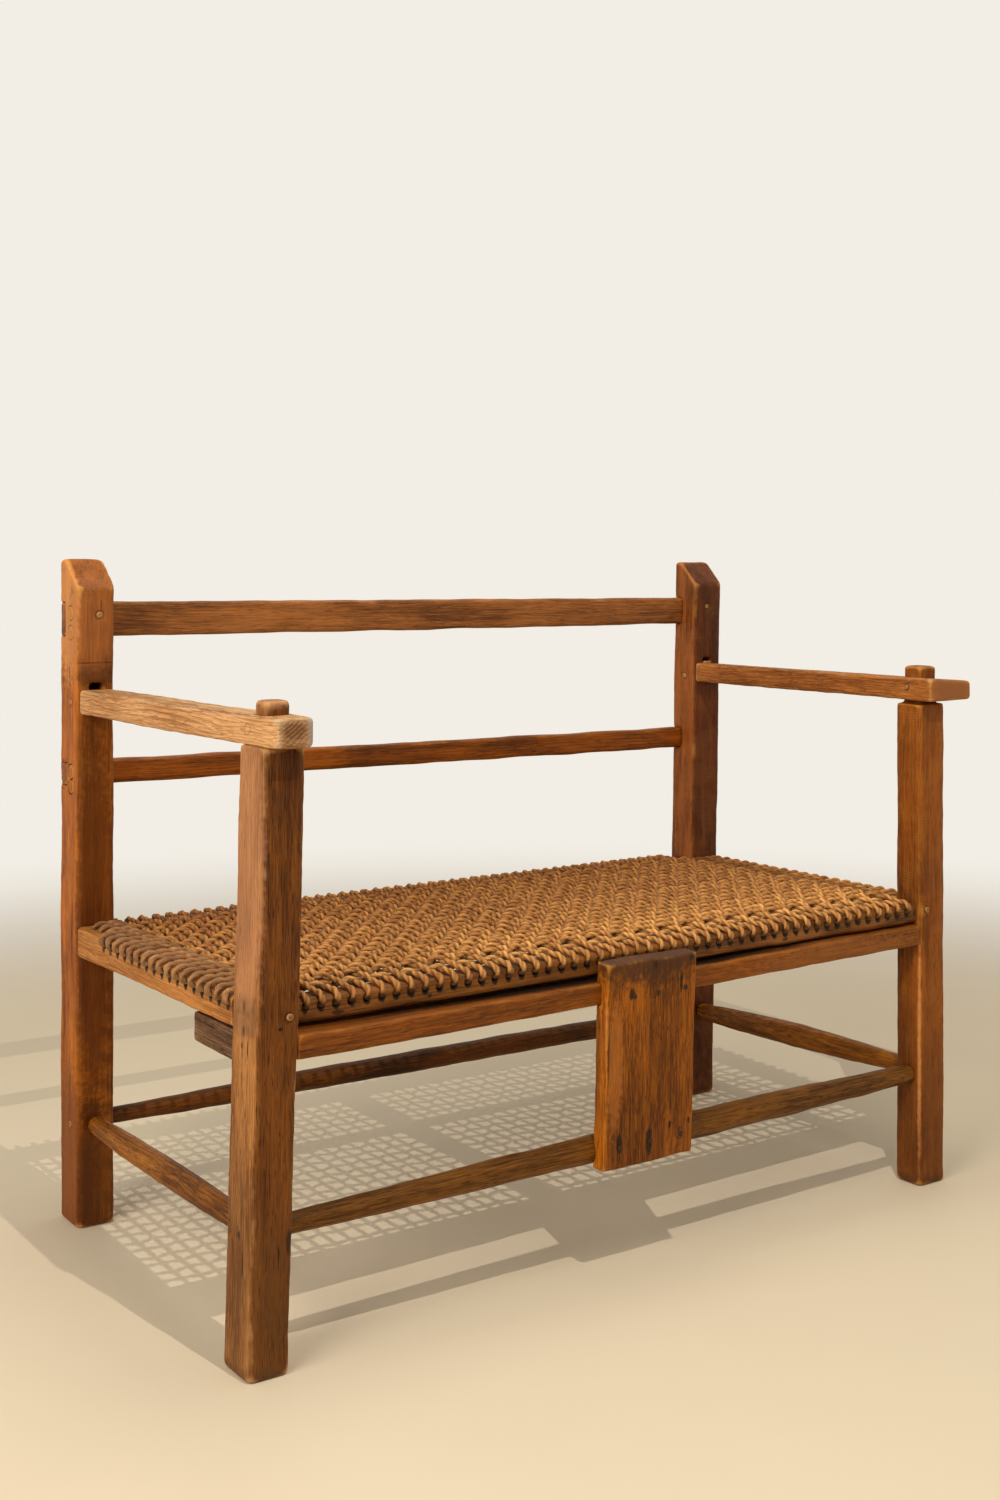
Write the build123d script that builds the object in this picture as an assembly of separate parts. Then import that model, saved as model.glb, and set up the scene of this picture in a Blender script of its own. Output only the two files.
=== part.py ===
# A small rustic settle: four square posts, two flat arms, two back rails and a woven cord seat.
# X runs to the right as seen from the front, Y to the back, Z up.
# All sizes are in millimetres.

from build123d import *
import math
import os

# Frame, over the outer faces of the posts' feet

frame_length = 1162
frame_depth = 618

# Posts: section, how far each foot stands in from the frame's outline, and how far its top leans

rear_left_width = 54
rear_left_depth = 68
rear_left_inset = 14
rear_left_lean_back = -1

rear_right_width = 60
rear_right_depth = 58
rear_right_setback = 15
rear_right_lean_right = 11
rear_right_lean_back = -9

front_left_width = 53
front_left_depth = 68
front_left_lean_right = 16
front_left_lean_back = -12

front_right_width = 56
front_right_depth = 49
front_right_inset = 15
front_right_setback = 14
front_right_lean_right = 4
front_right_lean_back = 4

rear_post_height = 918
left_shoulder_height = 704
right_shoulder_height = 706
post_arris = 5
foot_bevel = 3
top_bevel_depth_share = 0.7
top_bevel_drop = 40
top_edge_bevel = 3

# Fits

joint_clearance = 0.2
round_clearance = 0.2
seat_clearance = 0.3
overrun = 20

# Back rails

back_rail_thickness = 20
top_rail_height = 49
top_rail_drop = 59
top_rail_right_height = 45
top_rail_back_gap = 3
middle_rail_thickness = 23
middle_rail_height = 34
middle_rail_left_bottom = 602
middle_rail_right_bottom = 597
middle_rail_left_back_gap = 5
middle_rail_right_back_gap = 1.5
back_rail_arris = 3
back_tenon_shoulder = 1.5

# Arms

arm_thickness = 34
left_arm_width = 50
right_arm_rear_width = 54
right_arm_front_width = 90
right_arm_outer_drop = 6
arm_overhang = 26
right_arm_overhang = 24
right_arm_air = 5.5
arm_arris = 3
arm_end_bevel = 6
arm_tenon_width = 19
arm_tenon_height = 24
arm_tenon_length = 40
arm_tenon_lift = 3
left_mortise_rise = 9
right_mortise_rise = 6.5
right_arm_inner_overhang = 3
right_arm_rear_inset = 4

# Tenons on the front posts, through the arms

left_top_tenon_width = 34
left_top_tenon_depth = 34
left_top_tenon_radius = 10
right_top_tenon_width = 36
right_top_tenon_depth = 34
right_top_tenon_radius = 5
top_tenon_proud = 16
top_tenon_bevel = 2

# Seat rails

seat_rail_width = 40
front_rail_top = 412
front_rail_height = 28
front_rail_width = 36
front_rail_setback = 24
rear_rail_top = 405
rear_rail_height = 34
rear_rail_setback = 24
left_rail_front_top = 419
left_rail_rear_top = 415
left_rail_front_height = 36
left_rail_rear_height = 43
left_rail_rear_inset = 1
right_rail_front_top = 409.5
right_rail_rear_top = 404
right_rail_height = 34
right_rail_front_inset = 2
right_rail_rear_inset = 9
seat_brace_middle = -29
seat_brace_width = 37
seat_brace_height = 20
seat_brace_drop = 6
seat_brace_tenon_width = 20
seat_brace_tenon_height = 9
seat_brace_tenon_rise = 2
seat_brace_tenon_length = 16
seat_rail_arris = 4
seat_tenon_thickness = 16
seat_side_tenon_length = 34
seat_cross_tenon_length = 21
seat_tenon_drop = 2

# Cords and their holes

cord_diameter = 8
cord_hole_diameter = 8.6
cord_hole_drop = 9.2
long_cord_pitch = 20.2
side_cord_pitch = 24
first_side_cord_gap = 71
last_side_cord_gap = 88
first_long_cord_gap = 84
last_long_cord_gap = 85
corner_cord_count = 3
cord_edge_radius = 8
cord_hole_radius = 5
cord_end_reach = 1
side_cord_start_gap = 2
corner_cord_inset = 14

# Woven seat, as one holed panel

panel_thickness = 8
panel_edge_gap = 14
panel_gaps_long = 24
panel_gaps_deep = 12
panel_bar_share = 0.42

# Lower front rail and the board nailed over it

lower_rail_bottom = 351
lower_rail_right_rise = 3
lower_rail_height = 27
lower_rail_left_thickness = 56
lower_rail_right_thickness = 46
lower_rail_left_inset = 3
lower_rail_right_inset = 0.5
lower_rail_arris = 2
lower_tenon_height = 17
lower_tenon_thickness = 16
lower_tenon_length = 28

board_left = -86
board_width = 146
board_thickness = 24
board_bottom_drop = 17
board_top_drop = 7
board_top_slope = 2
board_foot_setback = 22
board_top_setback = 12
board_arris = 2.5

# Stretchers

stretcher_tenon_radius = 9
cross_stretcher_tenon_length = 12
side_stretcher_tenon_length = 40
stretcher_sides = 12

front_stretcher_left_rise = 157
front_stretcher_right_rise = 162
front_stretcher_radii_share = (0.65, 0.86, 1, 0.98, 0.7)
front_stretcher_radius = 18.5
front_stretcher_left_back = 34
front_stretcher_right_back = 23.5

rear_stretcher_rise = 137
rear_stretcher_radii_share = (0.66, 0.92, 1, 0.96, 0.8)
rear_stretcher_radius = 16.5

left_stretcher_rear_rise = 138
left_stretcher_front_rise = 154
left_stretcher_radii_share = (0.68, 0.98, 1, 0.97, 0.75)
left_stretcher_radius = 16

right_stretcher_rear_rise = 142
right_stretcher_front_rise = 166
right_stretcher_radii_share = (0.66, 0.9, 1, 0.84, 0.55)
right_stretcher_radius = 19.3
stretcher_stations_share = (0, 0.25, 0.5, 0.75, 1)

# Bearer behind the front left post

bearer_width = 30
bearer_height = 36
bearer_length = 130
bearer_inset = 12
bearer_drop = 45
bearer_end_bevel = 6
bearer_tenon_width = 16
bearer_tenon_height = 20
bearer_tenon_length = 24

# Pegs, plugs, wedge and nails

tight_clearance = 0.1
peg_radius = 4
peg_proud = 0.8
peg_sunk = 2
peg_wall = 10
side_peg_length = 48
arm_peg_radius = 2.8
arm_peg_length = 44
top_rail_peg_lift = 31
left_top_rail_peg_inset = 22.6
right_top_rail_peg_inset = 27.5
left_arm_peg_lift = 16
right_arm_peg_lift = 9
arm_peg_depth_share = 0.65
arm_side_peg_lift = 18.5
seat_peg_drop = 10
left_seat_peg_inset = 13.5
right_seat_peg_inset = 16
stretcher_peg_length = 30
stretcher_peg_setback = 27

plug_radius = 9.5
plug_length = 20
top_plug_pitch = 27
middle_plug_pitch = 20.5
plug_drop = 5
plug_setback = 27.5

wedge_length = 16
wedge_height = 7.5
wedge_width = 14
wedge_proud = 1

nail_radius = 1.6
nail_head_radius = 3.4
nail_head_thickness = 1.2
nail_length = 34
board_top_nail_lift = 10
board_low_nail_lift = 11
board_top_nail_shares = (0.29, 0.56, 0.87)
board_low_nail_shares = (0.17, 0.5, 0.85)
old_hole_lift = 13
old_hole_shares = (0.74, 0.95)
old_hole_depth = 9
frame_nail_radius = 2
frame_nail_length = 36
frame_nail_sunk = 1.5
side_nail_setback = 33
side_nail_drops = (9, 30)
low_side_nail_lift = 4
front_nail_lift = 3
front_nail_inset = 4.5
left_old_hole_drop = 22
left_old_hole_inset = 24
right_old_hole_drop = 19
right_old_hole_inset = 31


def block(x0, x1, y0, y1, z0, z1):
    """A box between two opposite corners."""
    middle = Pos((x0 + x1) / 2, (y0 + y1) / 2, (z0 + z1) / 2)
    return middle * Box(x1 - x0, y1 - y0, z1 - z0)


def rod(start, direction, radius, length):
    """A round bar that starts at a point and runs along a direction."""
    standing = Cylinder(radius, length, align=(Align.CENTER, Align.CENTER, Align.MIN))
    return Plane(origin=start, z_dir=direction) * standing


def clipped_corners(low_u, high_u, low_v, high_v, cut):
    """The eight corners of a rectangle whose own corners are cut off at 45 degrees."""
    return [
        (low_u + cut, low_v), (high_u - cut, low_v), (high_u, low_v + cut), (high_u, high_v - cut),
        (high_u - cut, high_v), (low_u + cut, high_v), (low_u, high_v - cut), (low_u, low_v + cut),
    ]


def bar_along_x(x0, x1, section0, section1, cut):
    """A bar with cut arrises from x0 to x1. A section is (front, back, bottom, top)."""
    ends = []
    for x, section in ((x0, section0), (x1, section1)):
        corners = [Vector(x, y, z) for y, z in clipped_corners(*section, cut)]
        ends.append(Wire.make_polygon(corners, close=True))
    return Solid.make_loft(ends, ruled=True)


def bar_along_y(y0, y1, section0, section1, cut):
    """A bar with cut arrises from y0 to y1. A section is (left, right, bottom, top)."""
    ends = []
    for y, section in ((y0, section0), (y1, section1)):
        corners = [Vector(x, y, z) for x, z in clipped_corners(*section, cut)]
        ends.append(Wire.make_polygon(corners, close=True))
    return Solid.make_loft(ends, ruled=True)


def between(start, end, share):
    """The value a share of the way from start to end."""
    return start + (end - start) * share


class Post:
    """A square post with cut arrises, whose top leans a little off its foot."""

    def __init__(self, left, front, width, depth, height, lean_right, lean_back):
        self.left = left
        self.front = front
        self.width = width
        self.depth = depth
        self.height = height
        self.lean_right = lean_right
        self.lean_back = lean_back
        self.plain = self.prism(clipped_corners(left, left + width, front, front + depth, post_arris))
        self.square = self.prism([
            (left, front), (left + width, front), (left + width, front + depth), (left, front + depth),
        ])
        self.solid = self.plain

    def prism(self, outline):
        foot = Face(Wire.make_polygon([Vector(x, y, 0) for x, y in outline], close=True))
        return Solid.extrude(foot, Vector(self.lean_right, self.lean_back, self.height))

    def left_at(self, z):
        return self.left + self.lean_right * z / self.height

    def right_at(self, z):
        return self.left_at(z) + self.width

    def front_at(self, z):
        return self.front + self.lean_back * z / self.height

    def back_at(self, z):
        return self.front_at(z) + self.depth

    def middle_x(self, z):
        return self.left_at(z) + self.width / 2

    def middle_y(self, z):
        return self.front_at(z) + self.depth / 2

    def cut(self, tool):
        self.solid = self.solid - tool

    def bevel_foot(self):
        foot_face = self.solid.faces().sort_by(Axis.Z)[0]
        self.solid = chamfer(foot_face.edges(), foot_bevel)


def trim(bar, *posts):
    """The bar without what would lie inside the posts."""
    for post in posts:
        bar = bar - post.square
    return bar


half_length = frame_length / 2
half_depth = frame_depth / 2

rear_left = Post(
    -half_length + rear_left_inset, half_depth - rear_left_depth,
    rear_left_width, rear_left_depth, rear_post_height, 0, rear_left_lean_back,
)
rear_right = Post(
    half_length - rear_right_width, half_depth - rear_right_setback - rear_right_depth,
    rear_right_width, rear_right_depth, rear_post_height, rear_right_lean_right, rear_right_lean_back,
)
front_left = Post(
    -half_length, -half_depth,
    front_left_width, front_left_depth, left_shoulder_height, front_left_lean_right, front_left_lean_back,
)
front_right = Post(
    half_length - front_right_inset - front_right_width, -half_depth + front_right_setback,
    front_right_width, front_right_depth, right_shoulder_height,
    front_right_lean_right, front_right_lean_back,
)

parts = {}


def box_tenon(post, corner_low, corner_high, rail, slack_up=0):
    """Adds a square tenon to a rail and cuts its mortise in the post. A through tenon ends flush."""
    tenon = block(
        corner_low[0], corner_high[0], corner_low[1], corner_high[1], corner_low[2], corner_high[2]
    )
    mortise = block(
        corner_low[0] - joint_clearance, corner_high[0] + joint_clearance,
        corner_low[1] - joint_clearance, corner_high[1] + joint_clearance,
        corner_low[2] - joint_clearance, corner_high[2] + joint_clearance + slack_up,
    )
    post.cut(mortise)
    return rail + (tenon & post.plain)


# Rear posts: a long bevel on the front of the top

for post in (rear_left, rear_right):
    top_front = post.front_at(post.height)
    bevel_depth = post.depth * top_bevel_depth_share
    rise = top_bevel_drop / bevel_depth
    profile = [
        Vector(post.left_at(post.height) - overrun, top_front + bevel_depth, post.height),
        Vector(post.left_at(post.height) - overrun, top_front - overrun,
               post.height - top_bevel_drop - overrun * rise),
        Vector(post.left_at(post.height) - overrun, top_front - overrun, post.height + overrun),
        Vector(post.left_at(post.height) - overrun, top_front + bevel_depth, post.height + overrun),
    ]
    cutter = Face(Wire.make_polygon(profile, close=True))
    post.cut(Solid.extrude(cutter, Vector(post.width + overrun * 2, 0, 0)))
    post.solid = chamfer(post.solid.faces().sort_by(Axis.Z)[-1].edges(), top_edge_bevel)

# Back rails, with tenons right through the rear posts

top_rail_top = rear_post_height - top_rail_drop
top_rail_bottom = top_rail_top - top_rail_height
top_left_back = rear_left.back_at(top_rail_bottom) - top_rail_back_gap
top_right_back = rear_right.back_at(top_rail_bottom) - top_rail_back_gap
rail_left_x = rear_left.middle_x(top_rail_bottom)
rail_right_x = rear_right.middle_x(top_rail_bottom)
top_back_rail = bar_along_x(
    rail_left_x, rail_right_x,
    (top_left_back - back_rail_thickness, top_left_back, top_rail_bottom, top_rail_top),
    (top_right_back - back_rail_thickness, top_right_back,
     top_rail_bottom, top_rail_bottom + top_rail_right_height),
    back_rail_arris,
)
top_back_rail = trim(top_back_rail, rear_left, rear_right)

middle_left_back = rear_left.back_at(middle_rail_left_bottom) - middle_rail_left_back_gap
middle_right_back = rear_right.back_at(middle_rail_right_bottom) - middle_rail_right_back_gap
middle_back_rail = bar_along_x(
    rail_left_x, rail_right_x,
    (middle_left_back - middle_rail_thickness, middle_left_back,
     middle_rail_left_bottom, middle_rail_left_bottom + middle_rail_height),
    (middle_right_back - middle_rail_thickness, middle_right_back,
     middle_rail_right_bottom, middle_rail_right_bottom + middle_rail_height),
    back_rail_arris,
)
middle_back_rail = trim(middle_back_rail, rear_left, rear_right)


def back_tenons(rail, left_back, right_back, thickness, left_bottom, right_bottom, left_height, right_height):
    """The two through tenons of a back rail."""
    shoulder = back_tenon_shoulder
    inner_left = rear_left.right_at(left_bottom) + shoulder
    rail = box_tenon(
        rear_left,
        (rear_left.left_at(left_bottom) - overrun, left_back - thickness + shoulder, left_bottom + shoulder),
        (inner_left, left_back - shoulder, left_bottom + left_height - shoulder),
        rail,
    )
    inner_right = rear_right.left_at(right_bottom) - shoulder
    return box_tenon(
        rear_right,
        (inner_right, right_back - thickness + shoulder, right_bottom + shoulder),
        (rear_right.right_at(right_bottom) + overrun, right_back - shoulder,
         right_bottom + right_height - shoulder),
        rail,
    )


parts["top_back_rail"] = back_tenons(
    top_back_rail, top_left_back, top_right_back, back_rail_thickness,
    top_rail_bottom, top_rail_bottom, top_rail_height, top_rail_right_height,
)
parts["middle_back_rail"] = back_tenons(
    middle_back_rail, middle_left_back, middle_right_back, middle_rail_thickness,
    middle_rail_left_bottom, middle_rail_right_bottom, middle_rail_height, middle_rail_height,
)

# Arms: a plan outline with cut front corners, the arrises bevelled, a tenon at the rear


def arm_blank(rear_left_corner, rear_right_corner, front_right_corner, front_left_corner, bottom, bevels):
    """A flat arm from its four plan corners, which run on into the rear post before it is trimmed."""
    inner_bevel, outer_bevel = bevels
    (lx, ly), (rx, ry) = front_left_corner, front_right_corner
    outline = [
        rear_left_corner, (lx, ly + inner_bevel), (lx + inner_bevel, ly),
        (rx - outer_bevel, ry), (rx, ry + outer_bevel), rear_right_corner,
    ]
    plan = Face(Wire.make_polygon([Vector(x, y, bottom) for x, y in outline], close=True))
    return Solid.extrude(plan, Vector(0, 0, arm_thickness))


def bevel_top_and_bottom(solid):
    """Bevels every edge of the highest and the lowest face."""
    faces = solid.faces().sort_by(Axis.Z)
    return chamfer(faces[0].edges() + faces[-1].edges(), arm_arris)


def top_tenon(post, width, depth, radius, tenon_top):
    """Stands a rounded tenon on the post's top and gives back the slot that it needs in the arm."""
    x, y = post.middle_x(post.height), post.middle_y(post.height)
    start = Pos(x, y, post.height - overrun)
    rise = tenon_top - post.height + overrun
    tenon = start * extrude(RectangleRounded(width, depth, radius), rise)
    tenon = chamfer(tenon.faces().sort_by(Axis.Z)[-1].edges(), top_tenon_bevel)
    post.solid = post.solid + tenon
    slot = RectangleRounded(
        width + joint_clearance * 2, depth + joint_clearance * 2, radius + joint_clearance
    )
    return start * extrude(slot, rise + overrun)


def arm_tenon(arm, post, bottom, mortise_rise):
    """The arm's rear tenon, low in a mortise that stands open above the arm."""
    x, y = post.middle_x(bottom), post.front_at(bottom)
    tenon_top = bottom + arm_tenon_lift + arm_tenon_height
    return box_tenon(
        post,
        (x - arm_tenon_width / 2, y - overrun, bottom + arm_tenon_lift),
        (x + arm_tenon_width / 2, y + arm_tenon_length, tenon_top),
        arm,
        slack_up=bottom + arm_thickness + mortise_rise - tenon_top,
    )


left_arm_bottom = left_shoulder_height
left_arm_top = left_arm_bottom + arm_thickness
left_arm_x = front_left.left_at(left_arm_bottom)
left_arm_end = front_left.front_at(left_arm_bottom) - arm_overhang
left_arm = arm_blank(
    (left_arm_x, rear_left.middle_y(left_arm_top)),
    (left_arm_x + left_arm_width, rear_left.middle_y(left_arm_top)),
    (left_arm_x + left_arm_width, left_arm_end),
    (left_arm_x, left_arm_end),
    left_arm_bottom, (arm_end_bevel, arm_end_bevel),
)
left_arm = trim(bevel_top_and_bottom(left_arm), rear_left)
left_arm = left_arm - top_tenon(
    front_left, left_top_tenon_width, left_top_tenon_depth, left_top_tenon_radius,
    left_arm_top + top_tenon_proud,
)
left_arm = arm_tenon(left_arm, rear_left, left_arm_bottom, left_mortise_rise)

right_arm_bottom = right_shoulder_height + right_arm_air
right_arm_top = right_arm_bottom + arm_thickness
right_arm_rear_x = rear_right.left_at(right_arm_bottom) + right_arm_rear_inset
right_arm_front_x = front_right.left_at(right_arm_bottom) - right_arm_inner_overhang
right_arm_end = front_right.front_at(right_arm_bottom) - right_arm_overhang
right_arm = arm_blank(
    (right_arm_rear_x, rear_right.middle_y(right_arm_top)),
    (right_arm_rear_x + right_arm_rear_width, rear_right.middle_y(right_arm_top)),
    (right_arm_front_x + right_arm_front_width, right_arm_end),
    (right_arm_front_x, right_arm_end),
    right_arm_bottom, (arm_arris, arm_end_bevel),
)
slope_profile = [
    Vector(right_arm_front_x, right_arm_end - overrun, right_arm_top),
    Vector(right_arm_front_x + right_arm_front_width * 2, right_arm_end - overrun,
           right_arm_top - right_arm_outer_drop * 2),
    Vector(right_arm_front_x + right_arm_front_width * 2, right_arm_end - overrun,
           right_arm_top + overrun),
    Vector(right_arm_front_x, right_arm_end - overrun, right_arm_top + overrun),
]
slope_cutter = Face(Wire.make_polygon(slope_profile, close=True))
right_arm = right_arm - Solid.extrude(slope_cutter, Vector(0, frame_depth, 0))
right_arm = trim(bevel_top_and_bottom(right_arm), rear_right)
right_arm = right_arm - top_tenon(
    front_right, right_top_tenon_width, right_top_tenon_depth, right_top_tenon_radius,
    right_arm_top + top_tenon_proud,
)
right_arm = arm_tenon(right_arm, rear_right, right_arm_bottom, right_mortise_rise)

# Seat rails, tenoned into the posts

front_rail_front = -half_depth + front_rail_setback
front_rail_back = front_rail_front + front_rail_width
front_rail_bottom = front_rail_top - front_rail_height
rear_rail_back = half_depth - rear_rail_setback
rear_rail_front = rear_rail_back - seat_rail_width
rear_rail_bottom = rear_rail_top - rear_rail_height


def cross_rail(left_post, right_post, front, back, bottom, top):
    """A level seat rail between a left and a right post, with its two tenons."""
    section = (front, back, bottom, top)
    rail = bar_along_x(
        left_post.middle_x(top), right_post.middle_x(top), section, section, seat_rail_arris
    )
    rail = trim(rail, left_post, right_post)
    low_y = (front + back - seat_tenon_thickness) / 2
    low_z, high_z = bottom + seat_tenon_drop, top - seat_tenon_drop
    left_face, right_face = left_post.right_at(top), right_post.left_at(top)
    rail = box_tenon(
        left_post, (left_face - seat_cross_tenon_length, low_y, low_z),
        (left_face + overrun, low_y + seat_tenon_thickness, high_z), rail,
    )
    return box_tenon(
        right_post, (right_face - overrun, low_y, low_z),
        (right_face + seat_cross_tenon_length, low_y + seat_tenon_thickness, high_z), rail,
    )


def side_rail(front_post, rear_post, front_section, rear_section):
    """A side rail from a front to a rear post. A section is (left, right, bottom, top)."""
    top = front_section[3]
    rail = bar_along_y(
        front_post.middle_y(top), rear_post.middle_y(top), front_section, rear_section, seat_rail_arris
    )
    rail = trim(rail, front_post, rear_post)
    for post, section, face, out in (
        (front_post, front_section, front_post.back_at(top), -1),
        (rear_post, rear_section, rear_post.front_at(top), 1),
    ):
        low_x = (section[0] + section[1] - seat_tenon_thickness) / 2
        ends = sorted((face - overrun * out, face + seat_side_tenon_length * out))
        rail = box_tenon(
            post, (low_x, ends[0], section[2] + seat_tenon_drop),
            (low_x + seat_tenon_thickness, ends[1], section[3] - seat_tenon_drop), rail,
        )
    return rail


front_seat_rail = cross_rail(
    front_left, front_right, front_rail_front, front_rail_back, front_rail_bottom, front_rail_top
)
rear_seat_rail = cross_rail(
    rear_left, rear_right, rear_rail_front, rear_rail_back, rear_rail_bottom, rear_rail_top
)

left_outer_front = front_left.left_at(left_rail_front_top)
left_outer_rear = rear_left.left_at(left_rail_rear_top) + left_rail_rear_inset
left_seat_rail = side_rail(
    front_left, rear_left,
    (left_outer_front, left_outer_front + seat_rail_width,
     left_rail_front_top - left_rail_front_height, left_rail_front_top),
    (left_outer_rear, left_outer_rear + seat_rail_width,
     left_rail_rear_top - left_rail_rear_height, left_rail_rear_top),
)

right_outer_front = front_right.right_at(right_rail_front_top) - right_rail_front_inset
right_outer_rear = rear_right.right_at(right_rail_rear_top) - right_rail_rear_inset
right_seat_rail = side_rail(
    front_right, rear_right,
    (right_outer_front - seat_rail_width, right_outer_front,
     right_rail_front_top - right_rail_height, right_rail_front_top),
    (right_outer_rear - seat_rail_width, right_outer_rear,
     right_rail_rear_top - right_rail_height, right_rail_rear_top),
)

# Seat brace: a bar under the cords, tenoned into the front and the rear seat rail

brace_left = seat_brace_middle - seat_brace_width / 2
brace_sections = [
    (brace_left, brace_left + seat_brace_width,
     rail_top - seat_brace_drop - seat_brace_height, rail_top - seat_brace_drop)
    for rail_top in (front_rail_top, rear_rail_top)
]
seat_brace = bar_along_y(front_rail_back, rear_rail_front, *brace_sections, seat_rail_arris)


def brace_joint(brace, rail, face, out, section):
    """Gives the brace a square tenon at a seat rail's inner face, and the rail its mortise."""
    left = seat_brace_middle - seat_brace_tenon_width / 2
    low = section[2] + seat_brace_tenon_rise
    solids = []
    for slack in (0, joint_clearance):
        ends = sorted((face - overrun * out, face + (seat_brace_tenon_length + slack) * out))
        solids.append(block(
            left - slack, left + seat_brace_tenon_width + slack, ends[0], ends[1],
            low - slack, low + seat_brace_tenon_height + slack,
        ))
    tenon, mortise = solids
    return brace + tenon, rail - mortise


seat_brace, front_seat_rail = brace_joint(
    seat_brace, front_seat_rail, front_rail_back, -1, brace_sections[0]
)
seat_brace, rear_seat_rail = brace_joint(
    seat_brace, rear_seat_rail, rear_rail_front, 1, brace_sections[1]
)
parts["seat_brace"] = seat_brace

# The woven seat's plane falls a little to the back

cord_radius = cord_diameter / 2
front_rest_y = (front_rail_front + front_rail_back) / 2
rear_rest_y = (rear_rail_front + rear_rail_back) / 2
seat_slope = (rear_rail_top - front_rail_top) / (rear_rest_y - front_rest_y)


def seat_under(y):
    """The height of the woven seat's underside."""
    return front_rail_top + seat_clearance + (y - front_rest_y) * seat_slope


panel_left = front_left.right_at(front_rail_top) + panel_edge_gap
panel_right = right_outer_front - panel_edge_gap
panel_inner_right = front_right.left_at(front_rail_top) - post_arris
panel_front = front_rail_front + panel_edge_gap
panel_back = rear_rail_back - panel_edge_gap
panel_wing_front = front_right.back_at(front_rail_top) + post_arris
panel_wing_back = rear_right.front_at(rear_rail_top) - post_arris
panel_outline = [
    (panel_left, panel_front), (panel_inner_right, panel_front),
    (panel_inner_right, panel_wing_front), (panel_right, panel_wing_front),
    (panel_right, panel_wing_back), (panel_inner_right, panel_wing_back),
    (panel_inner_right, panel_back), (panel_left, panel_back),
]
gap_pitch_x = (panel_inner_right - panel_left) / (panel_gaps_long + panel_bar_share)
gap_pitch_y = (rear_rail_front - front_rail_back) / (panel_gaps_deep + panel_bar_share)
gap_size_x = gap_pitch_x * (1 - panel_bar_share)
gap_size_y = gap_pitch_y * (1 - panel_bar_share)
gaps = []
for column in range(panel_gaps_long):
    for row in range(panel_gaps_deep):
        x = panel_left + gap_pitch_x * (column + panel_bar_share)
        y = front_rail_back + gap_pitch_y * (row + panel_bar_share)
        corners = [(x, y), (x + gap_size_x, y), (x + gap_size_x, y + gap_size_y), (x, y + gap_size_y)]
        gaps.append(Wire.make_polygon([Vector(u, v, 0) for u, v in corners], close=True))
net = Face(Wire.make_polygon([Vector(x, y, 0) for x, y in panel_outline], close=True), gaps)
panel = Solid.extrude(net, Vector(0, 0, panel_thickness))
parts["woven_seat"] = Pos(0, 0, seat_under(0)) * Rot(math.degrees(math.atan(seat_slope)), 0, 0) * panel

# Cord ends: over each rail's edge, down its outer face and in at a hole

cord_reach = cord_radius + seat_clearance


def cord_end(points, radii):
    """A bent cord along a route of straight runs and round turns."""
    route = FilletPolyline(*points, radius=radii)
    start = Plane(origin=route @ 0, z_dir=route % 0)
    return sweep(start * Circle(cord_radius), path=route)


long_cord_span = frame_length - first_long_cord_gap - last_long_cord_gap
long_cord_count = math.floor(long_cord_span / long_cord_pitch) + 1
side_cord_span = frame_depth - first_side_cord_gap - last_side_cord_gap
side_cord_count = math.floor(side_cord_span / side_cord_pitch) + 1


def long_cord_x(index):
    """Where a front-to-back cord lies, counted from the left."""
    return -half_length + first_long_cord_gap + long_cord_pitch * index


def side_cord_y(index):
    """Where a side-to-side cord lies, counted from the front."""
    return -half_depth + first_side_cord_gap + side_cord_pitch * index


def left_share(y):
    """How far back along the left rail y lies, from 0 at the front post to 1 at the rear post."""
    front, back = front_left.middle_y(left_rail_front_top), rear_left.middle_y(left_rail_front_top)
    return (y - front) / (back - front)


def right_share(y):
    """How far back along the right rail y lies, from 0 at the front post to 1 at the rear post."""
    front, back = front_right.middle_y(right_rail_front_top), rear_right.middle_y(right_rail_front_top)
    return (y - front) / (back - front)


front_cords = []
rear_cords = []
front_holes = []
rear_holes = []
for index in range(long_cord_count):
    x = long_cord_x(index)
    crown = seat_under(panel_front) + cord_radius
    hole = front_rail_top - cord_hole_drop
    front_cords.append(cord_end(
        [(x, panel_front - seat_clearance, crown), (x, front_rail_front - cord_reach, crown),
         (x, front_rail_front - cord_reach, hole), (x, front_rail_back - cord_end_reach, hole)],
        [cord_edge_radius, cord_hole_radius],
    ))
    front_holes.append(rod(
        (x, front_rail_front - overrun, hole), (0, 1, 0), cord_hole_diameter / 2,
        front_rail_width + overrun * 2,
    ))
    crown = seat_under(panel_back) + cord_radius
    hole = rear_rail_top - cord_hole_drop
    rear_cords.append(cord_end(
        [(x, panel_back + seat_clearance, crown), (x, rear_rail_back + cord_reach, crown),
         (x, rear_rail_back + cord_reach, hole), (x, rear_rail_front + cord_end_reach, hole)],
        [cord_edge_radius, cord_hole_radius],
    ))
    rear_holes.append(rod(
        (x, rear_rail_front - overrun, hole), (0, 1, 0), cord_hole_diameter / 2,
        seat_rail_width + overrun * 2,
    ))

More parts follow.
